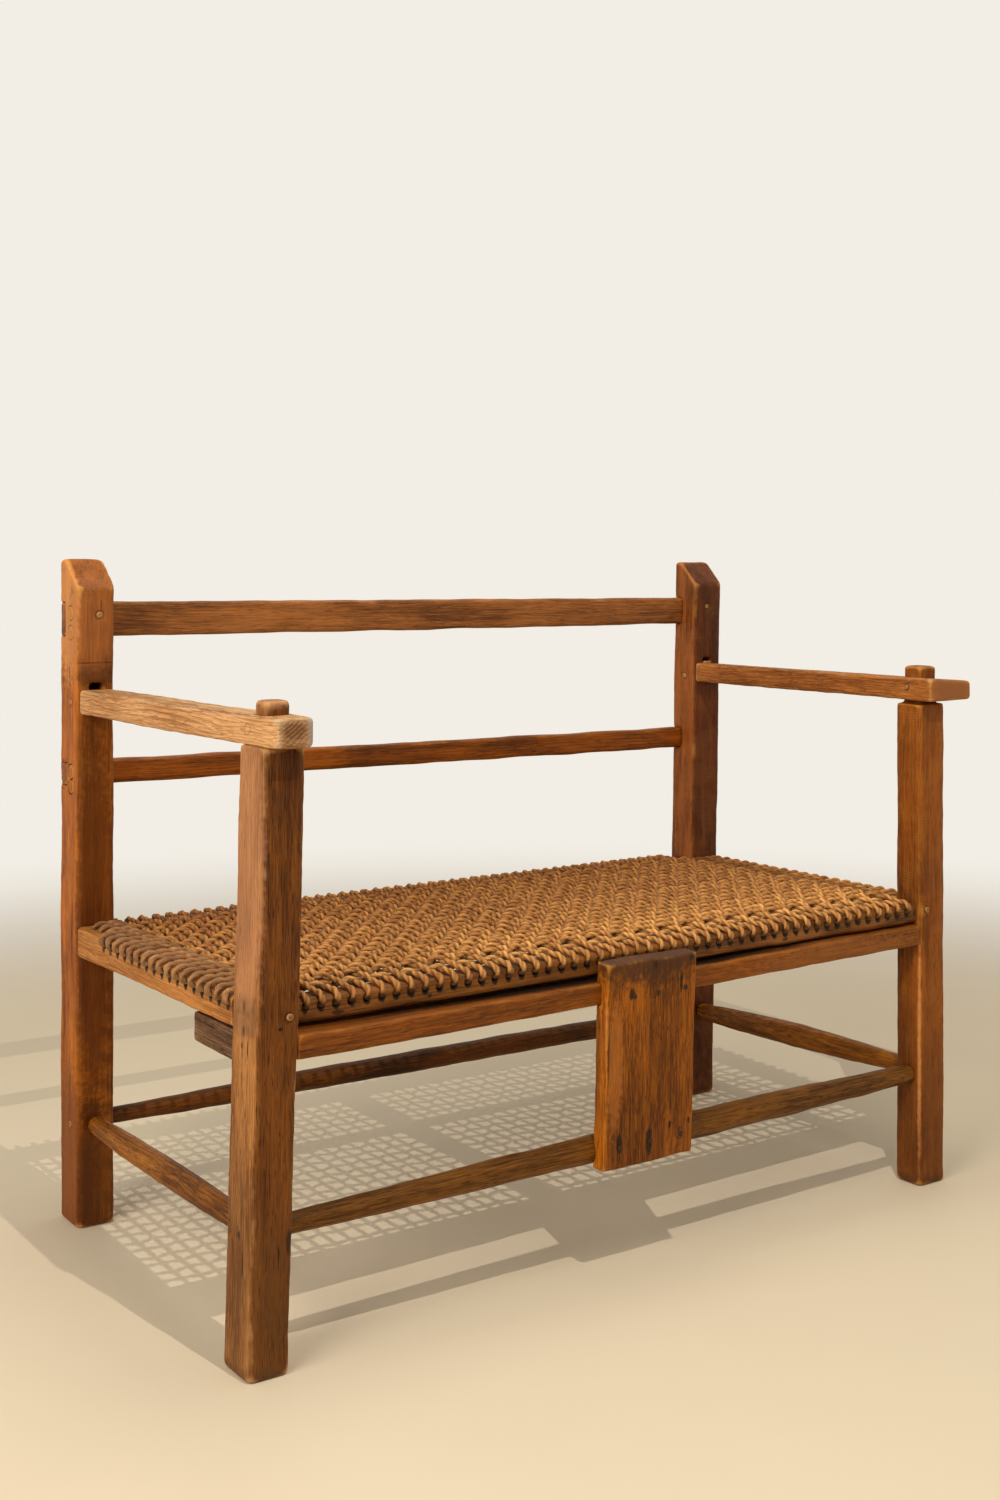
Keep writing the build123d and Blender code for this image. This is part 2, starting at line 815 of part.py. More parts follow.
left_cords = []
right_cords = []
left_holes = []
right_holes = []
for index in range(side_cord_count):
    y = side_cord_y(index)
    field = seat_under(y) + cord_radius
    share = left_share(y)
    top = between(left_rail_front_top, left_rail_rear_top, share)
    outer = between(left_outer_front, left_outer_rear, share)
    inner = outer + seat_rail_width
    crown = top + cord_reach
    start = (panel_left - side_cord_start_gap, y, field)
    if index < side_cord_count - corner_cord_count:
        hole = top - cord_hole_drop
        left_cords.append(cord_end(
            [start, (inner + cord_end_reach, y, crown), (outer - cord_reach, y, crown),
             (outer - cord_reach, y, hole), (inner - cord_end_reach, y, hole)],
            [cord_edge_radius, cord_edge_radius, cord_hole_radius],
        ))
        left_holes.append(rod(
            (outer - overrun, y, hole), (1, 0, 0), cord_hole_diameter / 2, seat_rail_width + overrun * 2
        ))
    else:
        down_x = outer + corner_cord_inset
        bottom = top - left_rail_rear_height
        left_cords.append(cord_end(
            [start, (inner + cord_end_reach, y, crown), (down_x, y, crown),
             (down_x, y, bottom + cord_end_reach)],
            [cord_edge_radius, cord_hole_radius],
        ))
        left_holes.append(rod(
            (down_x, y, bottom - overrun), (0, 0, 1), cord_hole_diameter / 2,
            left_rail_rear_height + overrun * 2,
        ))
    share = right_share(y)
    top = between(right_rail_front_top, right_rail_rear_top, share)
    outer = between(right_outer_front, right_outer_rear, share)
    hole = top - cord_hole_drop
    right_cords.append(cord_end(
        [(panel_right + side_cord_start_gap, y, field), (outer + cord_reach, y, top + cord_reach),
         (outer + cord_reach, y, hole), (outer - seat_rail_width + cord_end_reach, y, hole)],
        [cord_edge_radius, cord_hole_radius],
    ))
    right_holes.append(rod(
        (outer - seat_rail_width - overrun, y, hole), (1, 0, 0), cord_hole_diameter / 2,
        seat_rail_width + overrun * 2,
    ))

parts["front_cord_ends"] = Compound(front_cords)
parts["rear_cord_ends"] = Compound(rear_cords)
parts["left_cord_ends"] = Compound(left_cords)
parts["right_cord_ends"] = Compound(right_cords)
front_seat_rail = front_seat_rail - front_holes
parts["rear_seat_rail"] = rear_seat_rail - rear_holes
left_seat_rail = left_seat_rail - left_holes
parts["right_seat_rail"] = right_seat_rail - right_holes

# Stretchers, shaved by hand: thick in the middle, thin at the ends


def shaved_bar(start, end, radius, radii_share, grow):
    """A many-sided bar between two posts' middles, or the room for it when it is grown all round."""
    start, end = Vector(*start), Vector(*end)
    along = end - start
    rings = []
    for share, radius_share in zip(stretcher_stations_share, radii_share):
        ring = Plane(origin=start + along * share, z_dir=along)
        corners = []
        for side in range(stretcher_sides):
            turn = math.tau * side / stretcher_sides
            reach = radius * radius_share + grow
            corners.append(ring.from_local_coords(
                Vector(math.cos(turn) * reach, math.sin(turn) * reach, 0)
            ))
        rings.append(Wire.make_polygon(corners, close=True))
    return Solid.make_loft(rings, ruled=True)


def stretcher(start_post, end_post, start, end, start_face, end_face, tenon_length, radius, radii_share):
    """A stretcher with round tenons. A face is the share of its length at which it meets the post."""
    bar = trim(shaved_bar(start, end, radius, radii_share, 0), start_post, end_post)
    start, end = Vector(*start), Vector(*end)
    along = end - start
    unit = along.normalized()
    for post, face, out in ((start_post, start_face, -1), (end_post, end_face, 1)):
        root = start + along * face
        inside = unit * out
        tenon = rod(root - inside * overrun, inside, stretcher_tenon_radius, tenon_length + overrun)
        bore = rod(
            root - inside * overrun, inside, stretcher_tenon_radius + round_clearance,
            tenon_length + overrun + round_clearance,
        )
        post.cut(bore)
        bar = bar + (tenon & post.plain)
    return bar


def cross_stretcher(left_post, right_post, left_y, right_y, left_z, right_z, radius, radii_share):
    """A stretcher along X, given by its middle's place at each post."""
    start_x, end_x = left_post.middle_x(left_z), right_post.middle_x(right_z)
    length = end_x - start_x
    return stretcher(
        left_post, right_post, (start_x, left_y, left_z), (end_x, right_y, right_z),
        (left_post.right_at(left_z) - start_x) / length,
        (right_post.left_at(right_z) - start_x) / length,
        cross_stretcher_tenon_length, radius, radii_share,
    )


def side_stretcher(rear_post, front_post, rear_z, front_z, radius, radii_share):
    """A stretcher along Y, between the middles of a rear and a front post."""
    start_y, end_y = rear_post.middle_y(rear_z), front_post.middle_y(front_z)
    length = end_y - start_y
    return stretcher(
        rear_post, front_post,
        (rear_post.middle_x(rear_z), start_y, rear_z), (front_post.middle_x(front_z), end_y, front_z),
        (rear_post.front_at(rear_z) - start_y) / length,
        (front_post.back_at(front_z) - start_y) / length,
        side_stretcher_tenon_length, radius, radii_share,
    )


front_left_y = front_left.front_at(front_stretcher_left_rise) + front_stretcher_left_back
front_right_y = front_right.front_at(front_stretcher_right_rise) + front_stretcher_right_back
front_stretcher = cross_stretcher(
    front_left, front_right, front_left_y, front_right_y,
    front_stretcher_left_rise, front_stretcher_right_rise,
    front_stretcher_radius, front_stretcher_radii_share,
)
parts["rear_stretcher"] = cross_stretcher(
    rear_left, rear_right, rear_left.middle_y(rear_stretcher_rise), rear_right.middle_y(rear_stretcher_rise),
    rear_stretcher_rise, rear_stretcher_rise, rear_stretcher_radius, rear_stretcher_radii_share,
)
left_stretcher = side_stretcher(
    rear_left, front_left, left_stretcher_rear_rise, left_stretcher_front_rise,
    left_stretcher_radius, left_stretcher_radii_share,
)
parts["right_stretcher"] = side_stretcher(
    rear_right, front_right, right_stretcher_rear_rise, right_stretcher_front_rise,
    right_stretcher_radius, right_stretcher_radii_share,
)

# Lower front rail

lower_top = lower_rail_bottom + lower_rail_height
lower_fronts = (
    front_left.front_at(lower_top) + lower_rail_left_inset,
    front_right.front_at(lower_top) + lower_rail_right_inset,
)
lower_thicknesses = (lower_rail_left_thickness, lower_rail_right_thickness)


def lower_rail_bar(grow):
    """The lower rail's bar, or the room for it when it is grown all round."""
    sections = []
    for front, thickness, rise in zip(lower_fronts, lower_thicknesses, (0, lower_rail_right_rise)):
        sections.append((
            front - grow, front + thickness + grow,
            lower_rail_bottom + rise - grow, lower_top + rise + grow,
        ))
    return bar_along_x(
        front_left.middle_x(lower_top), front_right.middle_x(lower_top), *sections, lower_rail_arris
    )


lower_front_rail = trim(lower_rail_bar(0), front_left, front_right)
for post, face, out, front, thickness, rise in (
    (front_left, front_left.right_at(lower_top), -1, lower_fronts[0], lower_rail_left_thickness, 0),
    (front_right, front_right.left_at(lower_top), 1, lower_fronts[1], lower_rail_right_thickness,
     lower_rail_right_rise),
):
    low_y = front + (thickness - lower_tenon_thickness) / 2
    low_z = lower_rail_bottom + rise + (lower_rail_height - lower_tenon_height) / 2
    ends = sorted((face - overrun * out, face + lower_tenon_length * out))
    lower_front_rail = box_tenon(
        post, (ends[0], low_y, low_z),
        (ends[1], low_y + lower_tenon_thickness, low_z + lower_tenon_height), lower_front_rail,
    )

# Board over the lower rail and the stretcher, notched at its back over both

board_bottom = front_stretcher_left_rise - board_bottom_drop
board_top = front_rail_top - board_top_drop
board_foot_back = board_foot_setback - half_depth
board_top_back = board_top_setback - half_depth
board_profile = [
    (board_foot_back - board_thickness, board_bottom), (board_foot_back, board_bottom),
    (board_top_back, board_top + board_top_slope), (board_top_back - board_thickness, board_top),
]
board_end = Face(Wire.make_polygon([Vector(board_left, y, z) for y, z in board_profile], close=True))
board = Solid.extrude(board_end, Vector(board_width, 0, 0))
board = chamfer(board.faces().sort_by(Axis.Y)[0].edges(), board_arris)
stretcher_room = shaved_bar(
    (front_left.middle_x(front_stretcher_left_rise), front_left_y, front_stretcher_left_rise),
    (front_right.middle_x(front_stretcher_right_rise), front_right_y, front_stretcher_right_rise),
    front_stretcher_radius, front_stretcher_radii_share, seat_clearance,
)
board = board - lower_rail_bar(seat_clearance) - stretcher_room

# Bearer behind the front left post

bearer_top = left_rail_front_top - bearer_drop
bearer_left = front_left.left_at(bearer_top) + bearer_inset
bearer_bottom = bearer_top - bearer_height
bearer_front = front_left.back_at(bearer_bottom)
bearer = block(
    bearer_left, bearer_left + bearer_width, front_left.middle_y(bearer_top), bearer_front + bearer_length,
    bearer_bottom, bearer_top,
)
bearer = trim(bearer, front_left)
bearer = chamfer(bearer.faces().sort_by(Axis.Y)[-1].edges(), bearer_end_bevel)
low_x = bearer_left + (bearer_width - bearer_tenon_width) / 2
low_z = bearer_bottom + (bearer_height - bearer_tenon_height) / 2
parts["left_seat_bearer"] = box_tenon(
    front_left, (low_x, bearer_front - bearer_tenon_length, low_z),
    (low_x + bearer_tenon_width, bearer_front + overrun, low_z + bearer_tenon_height), bearer,
)

# Pegs and nails


def bored(member, start, direction, radius, length):
    """The member with a tight hole for a peg or nail, open on the side that it is driven from."""
    outside = Vector(*start) - Vector(*direction) * overrun
    return member - rod(
        outside, direction, radius + tight_clearance, length + overrun + tight_clearance
    )


frame_pegs = []


def peg(post, member, start, direction, length):
    """Drives a peg through a post into the member's tenon and gives the member back with its hole."""
    frame_pegs.append(rod(start, direction, peg_radius, length))
    post.solid = bored(post.solid, start, direction, peg_radius, length)
    return bored(member, start, direction, peg_radius, length)


def peg_from_front(post, member, x, z, out):
    """A peg from the post's front face, proud of it by out."""
    return peg(post, member, (x, post.front_at(z) - out, z), (0, 1, 0), post.depth - peg_wall)


top_rail_peg_rise = top_rail_bottom + top_rail_peg_lift
seat_peg_rise = front_rail_top - seat_peg_drop
top_rail = parts["top_back_rail"]
top_rail = peg_from_front(
    rear_left, top_rail, rear_left.right_at(top_rail_peg_rise) - left_top_rail_peg_inset,
    top_rail_peg_rise, peg_proud,
)
parts["top_back_rail"] = peg_from_front(
    rear_right, top_rail, rear_right.left_at(top_rail_peg_rise) + right_top_rail_peg_inset,
    top_rail_peg_rise, -peg_sunk,
)
front_seat_rail = peg_from_front(
    front_left, front_seat_rail, front_left.right_at(seat_peg_rise) - left_seat_peg_inset,
    seat_peg_rise, peg_proud,
)
parts["front_seat_rail"] = peg_from_front(
    front_right, front_seat_rail, front_right.left_at(seat_peg_rise) + right_seat_peg_inset,
    seat_peg_rise, peg_proud,
)


def peg_from_left(post, member, depth, z, length):
    """A peg into the post's left face, a depth behind its front face and a little proud."""
    return peg(
        post, member, (post.left_at(z) - peg_proud, post.front_at(z) + depth, z), (1, 0, 0), length
    )


arm_peg_depth = arm_tenon_length * arm_peg_depth_share
left_arm = peg_from_left(
    rear_left, left_arm, arm_peg_depth, left_arm_bottom + left_arm_peg_lift, side_peg_length
)
right_arm = peg_from_left(
    rear_right, right_arm, arm_peg_depth, right_arm_bottom + right_arm_peg_lift, side_peg_length
)
left_stretcher = peg_from_left(
    rear_left, left_stretcher, stretcher_peg_setback, left_stretcher_rear_rise, stretcher_peg_length
)
parts["frame_pegs"] = Compound(frame_pegs)

arm_side_peg_rise = right_arm_bottom + arm_side_peg_lift
arm_peg_start = (
    right_arm_front_x - peg_proud, front_right.middle_y(arm_side_peg_rise), arm_side_peg_rise
)
parts["arm_peg"] = rod(arm_peg_start, (1, 0, 0), arm_peg_radius, arm_peg_length)
right_arm = bored(right_arm, arm_peg_start, (1, 0, 0), arm_peg_radius, arm_peg_length)
front_right.solid = bored(front_right.solid, arm_peg_start, (1, 0, 0), arm_peg_radius, arm_peg_length)
parts["left_arm"] = left_arm
parts["right_arm"] = right_arm

# Wedge on the right arm's tenon, in the open top of its mortise

wedge_x = rear_right.middle_x(right_arm_bottom)
wedge_bottom = right_arm_bottom + arm_tenon_lift + arm_tenon_height
wedge_front = rear_right.front_at(right_arm_top) - wedge_proud
parts["arm_wedge"] = block(
    wedge_x - wedge_width / 2, wedge_x + wedge_width / 2, wedge_front, wedge_front + wedge_length,
    wedge_bottom, wedge_bottom + wedge_height,
)
parts["right_arm"] = right_arm - block(
    wedge_x - wedge_width / 2 - seat_clearance, wedge_x + wedge_width / 2 + seat_clearance,
    wedge_front - seat_clearance, wedge_front + wedge_length,
    wedge_bottom, wedge_bottom + wedge_height + overrun,
)

# Plugs in the rear left post's outer face

plugs = []
for rail_bottom, rail_height, pitch in (
    (top_rail_bottom, top_rail_height, top_plug_pitch),
    (middle_rail_left_bottom, middle_rail_height, middle_plug_pitch),
):
    middle = rail_bottom + rail_height / 2 - plug_drop
    for z in (middle - pitch / 2, middle + pitch / 2):
        start = (rear_left.left_at(z), rear_left.front_at(z) + plug_setback, z)
        plugs.append(rod(start, (1, 0, 0), plug_radius, plug_length))
        rear_left.solid = bored(rear_left.solid, start, (1, 0, 0), plug_radius, plug_length)
parts["rear_left_plugs"] = Compound(plugs)

# Nails and old nail holes

board_nails = []
board_lean = (board_top_back - board_foot_back) / (board_top - board_bottom)
board_top_nail_rise = lower_rail_bottom + board_top_nail_lift
board_low_nail_rise = front_stretcher_left_rise + board_low_nail_lift
old_hole_rise = board_low_nail_rise + old_hole_lift


def board_face(z):
    """Where the board's front face lies at a height."""
    return board_foot_back - board_thickness + board_lean * (z - board_bottom)


for rise, shares, member in (
    (board_top_nail_rise, board_top_nail_shares, "rail"),
    (board_low_nail_rise, board_low_nail_shares, "stretcher"),
):
    for share in shares:
        start = (board_left + board_width * share, board_face(rise), rise)
        head_start = (start[0], start[1] - nail_head_thickness, rise)
        shank = rod(start, (0, 1, 0), nail_radius, nail_length)
        head = rod(head_start, (0, 1, 0), nail_head_radius, nail_head_thickness)
        board_nails.append(shank + head)
        board = bored(board, start, (0, 1, 0), nail_radius, nail_length) - head
        if member == "rail":
            lower_front_rail = bored(lower_front_rail, start, (0, 1, 0), nail_radius, nail_length)
        else:
            front_stretcher = bored(front_stretcher, start, (0, 1, 0), nail_radius, nail_length)
parts["board_nails"] = Compound(board_nails)
for share in old_hole_shares:
    start = (board_left + board_width * share, board_face(old_hole_rise), old_hole_rise)
    board = bored(board, start, (0, 1, 0), nail_radius, old_hole_depth)

frame_nails = []
members = {"rail": left_seat_rail, "left": left_stretcher, "front": front_stretcher}
side_nail_rises = [left_rail_front_top - drop for drop in side_nail_drops]
side_nail_rises.append(left_stretcher_front_rise + low_side_nail_lift)
for rise, member in zip(side_nail_rises, ("rail", "rail", "left")):
    start = (
        front_left.left_at(rise) + frame_nail_sunk, front_left.front_at(rise) + side_nail_setback, rise
    )
    frame_nails.append(rod(start, (1, 0, 0), frame_nail_radius, frame_nail_length))
    front_left.solid = bored(front_left.solid, start, (1, 0, 0), frame_nail_radius, frame_nail_length)
    members[member] = bored(members[member], start, (1, 0, 0), frame_nail_radius, frame_nail_length)
front_nail_rise = front_stretcher_left_rise + front_nail_lift
start = (
    front_left.right_at(front_nail_rise) - front_nail_inset,
    front_left.front_at(front_nail_rise) + frame_nail_sunk, front_nail_rise,
)
frame_nails.append(rod(start, (0, 1, 0), frame_nail_radius, frame_nail_length))
front_left.solid = bored(front_left.solid, start, (0, 1, 0), frame_nail_radius, frame_nail_length)
members["front"] = bored(members["front"], start, (0, 1, 0), frame_nail_radius, frame_nail_length)
parts["frame_nails"] = Compound(frame_nails)
for post, inset, drop in (
    (front_left, left_old_hole_inset, left_old_hole_drop),
    (front_right, right_old_hole_inset, right_old_hole_drop),
):
    rise = front_rail_top - drop
    start = (post.left_at(rise) + inset, post.front_at(rise), rise)
    post.solid = bored(post.solid, start, (0, 1, 0), nail_radius, old_hole_depth)

parts["left_seat_rail"] = members["rail"]
parts["left_stretcher"] = members["left"]
parts["front_stretcher"] = members["front"]
parts["lower_front_rail"] = lower_front_rail
parts["centre_board"] = board

for name, post in (
    ("rear_left_post", rear_left), ("rear_right_post", rear_right),
    ("front_left_post", front_left), ("front_right_post", front_right),
):
    post.bevel_foot()
    parts[name] = post.solid

# The origin lies on the floor, below the middle of the whole

whole = Compound([Compound(part.solids()) for part in parts.values()]).bounding_box()
shift = Vector(-(whole.min.X + whole.max.X) / 2, -(whole.min.Y + whole.max.Y) / 2, -whole.min.Z)
print("shift", shift, "size", whole.size)

os.makedirs("parts", exist_ok=True)
for name, part in parts.items():
    print(name, len(part.solids()), part.is_valid)
    export_step(Pos(*shift) * Compound(part.solids()), f"parts/{name}.step")
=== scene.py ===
# A small rustic settle: worn oak members, a seat of twisted cord woven over the rails, pegs and nails.
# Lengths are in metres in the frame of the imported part, unless a name or comment says millimetres.
import math

import bpy
import numpy as np
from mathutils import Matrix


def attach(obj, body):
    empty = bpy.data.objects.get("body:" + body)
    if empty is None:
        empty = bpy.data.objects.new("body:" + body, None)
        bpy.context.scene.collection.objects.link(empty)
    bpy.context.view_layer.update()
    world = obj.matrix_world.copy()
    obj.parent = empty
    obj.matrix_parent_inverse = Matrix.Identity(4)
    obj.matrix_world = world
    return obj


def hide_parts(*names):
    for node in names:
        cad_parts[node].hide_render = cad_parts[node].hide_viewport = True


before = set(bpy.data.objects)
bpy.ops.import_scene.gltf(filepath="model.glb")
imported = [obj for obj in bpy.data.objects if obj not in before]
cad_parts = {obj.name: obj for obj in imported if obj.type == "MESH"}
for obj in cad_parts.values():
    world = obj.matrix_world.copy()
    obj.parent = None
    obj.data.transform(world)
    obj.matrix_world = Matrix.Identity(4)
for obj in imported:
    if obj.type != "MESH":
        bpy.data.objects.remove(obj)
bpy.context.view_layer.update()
MILLIMETRE = 0.001

# In millimetres: added to a place round the settle's middle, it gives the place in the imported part
PART_SHIFT = np.array([-10.05, 19.0, 0.0])

# In millimetres: from one front-to-back cord to the next, and from one side-to-side cord to the next
LONG_PITCH, SIDE_PITCH = 20.2, 24.0


def paint(red, green, blue):
    """A screen colour, each part from 0 to 255, as the linear colour that the shaders take."""
    parts = []
    for part in (red, green, blue):
        share = part / 255
        parts.append(share / 12.92 if share <= 0.04045 else ((share + 0.055) / 1.055) ** 2.4)
    return (*parts, 1.0)


def add_object(name, data):
    thing = bpy.data.objects.new(name, data)
    bpy.context.scene.collection.objects.link(thing)
    return thing


# Shader node recipes

SOCKETS = {"value": "NodeSocketFloat", "vector": "NodeSocketVector", "colour": "NodeSocketColor"}
WARM_SHEEN = (1.0, 0.84, 0.6, 1.0)
GRIME = (38, 20, 10)
# Painted shade at the cord holes
CORD_HOLE_SHADE = (18, 8, 3)
PORE_SHADE = 0.35
END_RAGGED = 0.5


class Recipe:
    """Places and joins the nodes of one material or one shared group."""

    def __init__(self, tree):
        self.tree = tree

    def place(self, kind, settings=None, feeds=None):
        node = self.tree.nodes.new(kind)
        for name, value in (settings or {}).items():
            setattr(node, name, value)
        for key, value in (feeds or {}).items():
            self.feed(node.inputs[key], value)
        return node

    def feed(self, socket, value):
        if isinstance(value, bpy.types.NodeSocket):
            self.tree.links.new(value, socket)
        else:
            socket.default_value = value

    def sum(self, operation, first, second=0.0, third=0.0, clamp=False):
        settings = {"operation": operation, "use_clamp": clamp}
        return self.place("ShaderNodeMath", settings, {0: first, 1: second, 2: third}).outputs[0]

    def times(self, first, second):
        return self.sum("MULTIPLY", first, second)

    def swing(self, texture, size, base=0.0, middle=0.5):
        """A texture's swing round its middle, sized and laid on a base."""
        return self.sum("MULTIPLY_ADD", self.sum("SUBTRACT", texture, middle), size, base)

    def vector(self, operation, first, second=(0.0, 0.0, 0.0)):
        node = self.place("ShaderNodeVectorMath", {"operation": operation}, {0: first, 1: second})
        return node.outputs["Value" if operation in ("LENGTH", "DOT_PRODUCT") else "Vector"]

    def blend(self, share, first, second, mode="MIX"):
        settings = {"data_type": "RGBA", "blend_type": mode}
        return self.place("ShaderNodeMix", settings, {0: share, 6: first, 7: second}).outputs[2]

    def ramp(self, value, low, high, new_low=0.0, new_high=1.0):
        feeds = {"Value": value, "From Min": low, "From Max": high, "To Min": new_low, "To Max": new_high}
        settings = {"interpolation_type": "SMOOTHSTEP"}
        return self.place("ShaderNodeMapRange", settings, feeds).outputs["Result"]

    def noise(self, place, scale, detail=2.0, roughness=0.5):
        feeds = {"Vector": place, "Scale": scale, "Detail": detail, "Roughness": roughness}
        return self.place("ShaderNodeTexNoise", {}, feeds).outputs["Fac"]

    def drawn_out(self, place, along_share, scale, detail=2.0, roughness=0.5):
        """Noise that is long along the third axis, where its scale is only a share of the whole."""
        drawn = self.vector("MULTIPLY", place, (1.0, 1.0, along_share))
        return self.noise(drawn, scale, detail, roughness)

    def attribute(self, name, output="Fac"):
        return self.place("ShaderNodeAttribute", {"attribute_name": name}).outputs[output]

    def group(self, group, feeds):
        return self.place("ShaderNodeGroup", {"node_tree": group}, feeds).outputs

    def relief(self, shader, height, strength, distance):
        feeds = {"Height": height, "Strength": strength, "Distance": distance}
        self.feed(shader.inputs["Normal"], self.place("ShaderNodeBump", {}, feeds).outputs["Normal"])


def start_material(name):
    """A new material, its recipe, its shader and the place on the piece."""
    material = bpy.data.materials.new(name)
    material.use_nodes = True
    recipe = Recipe(material.node_tree)
    here = recipe.place("ShaderNodeTexCoord").outputs["Object"]
    return material, recipe, material.node_tree.nodes["Principled BSDF"], here


def start_group(name, inputs, outputs):
    """An empty shared group: its tree's recipe, the sockets it takes in and the node that gives out."""
    tree = bpy.data.node_groups.new(name, "ShaderNodeTree")
    for way, sockets in (("INPUT", inputs), ("OUTPUT", outputs)):
        for label, kind in sockets.items():
            tree.interface.new_socket(name=label, in_out=way, socket_type=SOCKETS[kind])
    recipe = Recipe(tree)
    return recipe, recipe.place("NodeGroupInput").outputs, recipe.place("NodeGroupOutput").inputs


def timber_group():
    """Sawn oak: growth rings round a pith, fibre streaks, pores, fine splits and slow changes of tone."""
    recipe, given, out = start_group(
        "sawn timber",
        {"Place": "vector", "Ring Width": "value", "Ring Wander": "value", "Ring Depth": "value",
         "Streak Depth": "value", "Pore Depth": "value", "Tone Depth": "value", "Split Depth": "value",
         "Light": "colour", "Dark": "colour", "Pore": "colour"},
        {"Color": "colour", "Height": "value", "Dryness": "value"},
    )
    place = given["Place"]
    across = recipe.vector("LENGTH", recipe.vector("MULTIPLY", place, (1.0, 1.0, 0.0)))
    drift = recipe.swing(recipe.drawn_out(place, 0.22, 17.0, 3.0), given["Ring Wander"])
    drift = recipe.swing(recipe.drawn_out(place, 0.3, 90.0), 0.0035, drift)
    turn = recipe.sum("FRACT", recipe.sum("DIVIDE", recipe.sum("ADD", across, drift), given["Ring Width"]))
    late = recipe.times(recipe.sum("POWER", turn, 2.0), recipe.ramp(turn, 1.0, 0.88))

    streaks = recipe.drawn_out(place, 0.014, 560.0, 3.0, 0.6)
    fibre = recipe.drawn_out(place, 0.016, 1500.0, 2.0, 0.6)
    tone = recipe.drawn_out(place, 0.35, 11.0, 4.0, 0.6)
    bands = recipe.drawn_out(place, 0.08, 75.0, 3.0, 0.6)
    share = recipe.swing(streaks, given["Streak Depth"], recipe.times(late, given["Ring Depth"]), 0.47)
    share = recipe.swing(fibre, 1.5, share)
    share = recipe.swing(tone, recipe.times(given["Tone Depth"], 1.25), share)
    share = recipe.sum("MULTIPLY_ADD", recipe.swing(bands, given["Tone Depth"]), 0.75, share)
    share = recipe.sum("ADD", share, 0.28, clamp=True)
    colour = recipe.blend(share, given["Light"], given["Dark"])

    early = recipe.ramp(turn, 0.75, 0.2, 0.35, 1.0)
    pores = recipe.ramp(recipe.drawn_out(place, 0.045, 950.0, 1.0), 0.56, 0.66)
    pores = recipe.times(recipe.times(pores, early), given["Pore Depth"])
    split = recipe.sum("SUBTRACT", recipe.drawn_out(place, 0.05, 75.0, 2.0, 0.55), 0.5)
    split = recipe.ramp(recipe.sum("ABSOLUTE", split), 0.009, 0.002)
    split = recipe.times(recipe.times(split, recipe.ramp(tone, 0.5, 0.6)), given["Split Depth"])
    colour = recipe.blend(pores, colour, given["Pore"])
    recipe.feed(out["Color"], recipe.blend(split, colour, given["Pore"]))

    height = recipe.sum("MULTIPLY_ADD", late, -0.35, recipe.times(streaks, 0.8))
    height = recipe.sum("MULTIPLY_ADD", split, -1.6, height)
    recipe.feed(out["Height"], recipe.sum("MULTIPLY_ADD", pores, -0.9, height))
    recipe.feed(out["Dryness"], recipe.sum("MULTIPLY_ADD", share, 0.1, recipe.times(pores, 0.15)))
    return recipe.tree


def handled_group():
    """Arrises rubbed pale by use, and grime that stays in the hollows."""
    recipe, given, out = start_group(
        "handled arrises",
        {"Place": "vector", "Color": "colour", "Rub": "value", "Worn": "colour", "Wear": "value",
         "Grime": "colour", "Grime Depth": "value"},
        {"Color": "colour", "Mask": "value"},
    )
    patches = recipe.noise(given["Place"], 26.0, 3.0, 0.6)
    rub = recipe.swing(patches, 0.9, given["Rub"])
    rub = recipe.swing(recipe.drawn_out(given["Place"], 0.2, 240.0), 0.45, rub)
    mask = recipe.times(recipe.ramp(rub, 0.45, 1.05), given["Wear"])
    hollow = recipe.ramp(recipe.sum("MULTIPLY_ADD", patches, -0.25, given["Rub"]), -0.2, -0.75)
    hollow = recipe.times(hollow, given["Grime Depth"])
    colour = recipe.blend(mask, given["Color"], given["Worn"])
    recipe.feed(out["Color"], recipe.blend(hollow, colour, given["Grime"]))
    recipe.feed(out["Mask"], mask)
    return recipe.tree


def spot_group():
    """A stain, knot, check, worn place or painted shade: a ragged ellipsoid round one point of the wood, or
    its rim.
    """
    recipe, given, out = start_group(
        "spot",
        {"Place": "vector", "Centre": "vector", "Reach": "vector", "Ragged": "value"},
        {"Mask": "value", "Ring": "value"},
    )
    offset = recipe.vector("SUBTRACT", given["Place"], given["Centre"])
    far = recipe.vector("LENGTH", recipe.vector("DIVIDE", offset, given["Reach"]))
    far = recipe.swing(recipe.noise(given["Place"], 130.0), given["Ragged"], far)
    recipe.feed(out["Mask"], recipe.ramp(far, 1.0, 0.55))
    recipe.feed(out["Ring"], recipe.times(recipe.ramp(far, 1.1, 1.0), recipe.ramp(far, 0.86, 0.96)))
    return recipe.tree


def wave_along(recipe, given, wander_scale, wander):
    """An even wave along one way of the wood, which wanders a little, in metres."""
    way = recipe.vector("DOT_PRODUCT", given["Place"], given["Along"])
    way = recipe.swing(recipe.noise(given["Place"], wander_scale), wander, way)
    return recipe.sum("SINE", recipe.sum("DIVIDE", recipe.times(way, math.tau), given["Pitch"]))


def saw_group():
    """Fine ridges that a saw or a scraper left across the grain, in patches."""
    recipe, given, out = start_group(
        "saw marks",
        {"Place": "vector", "Along": "vector", "Pitch": "value", "Depth": "value"},
        {"Mask": "value"},
    )
    wave = wave_along(recipe, given, 60.0, 0.004)
    patch = recipe.ramp(recipe.noise(given["Place"], 34.0), 0.42, 0.62)
    line = recipe.times(recipe.ramp(wave, 0.1, 0.9), patch)
    recipe.feed(out["Mask"], recipe.times(line, given["Depth"]))
    return recipe.tree


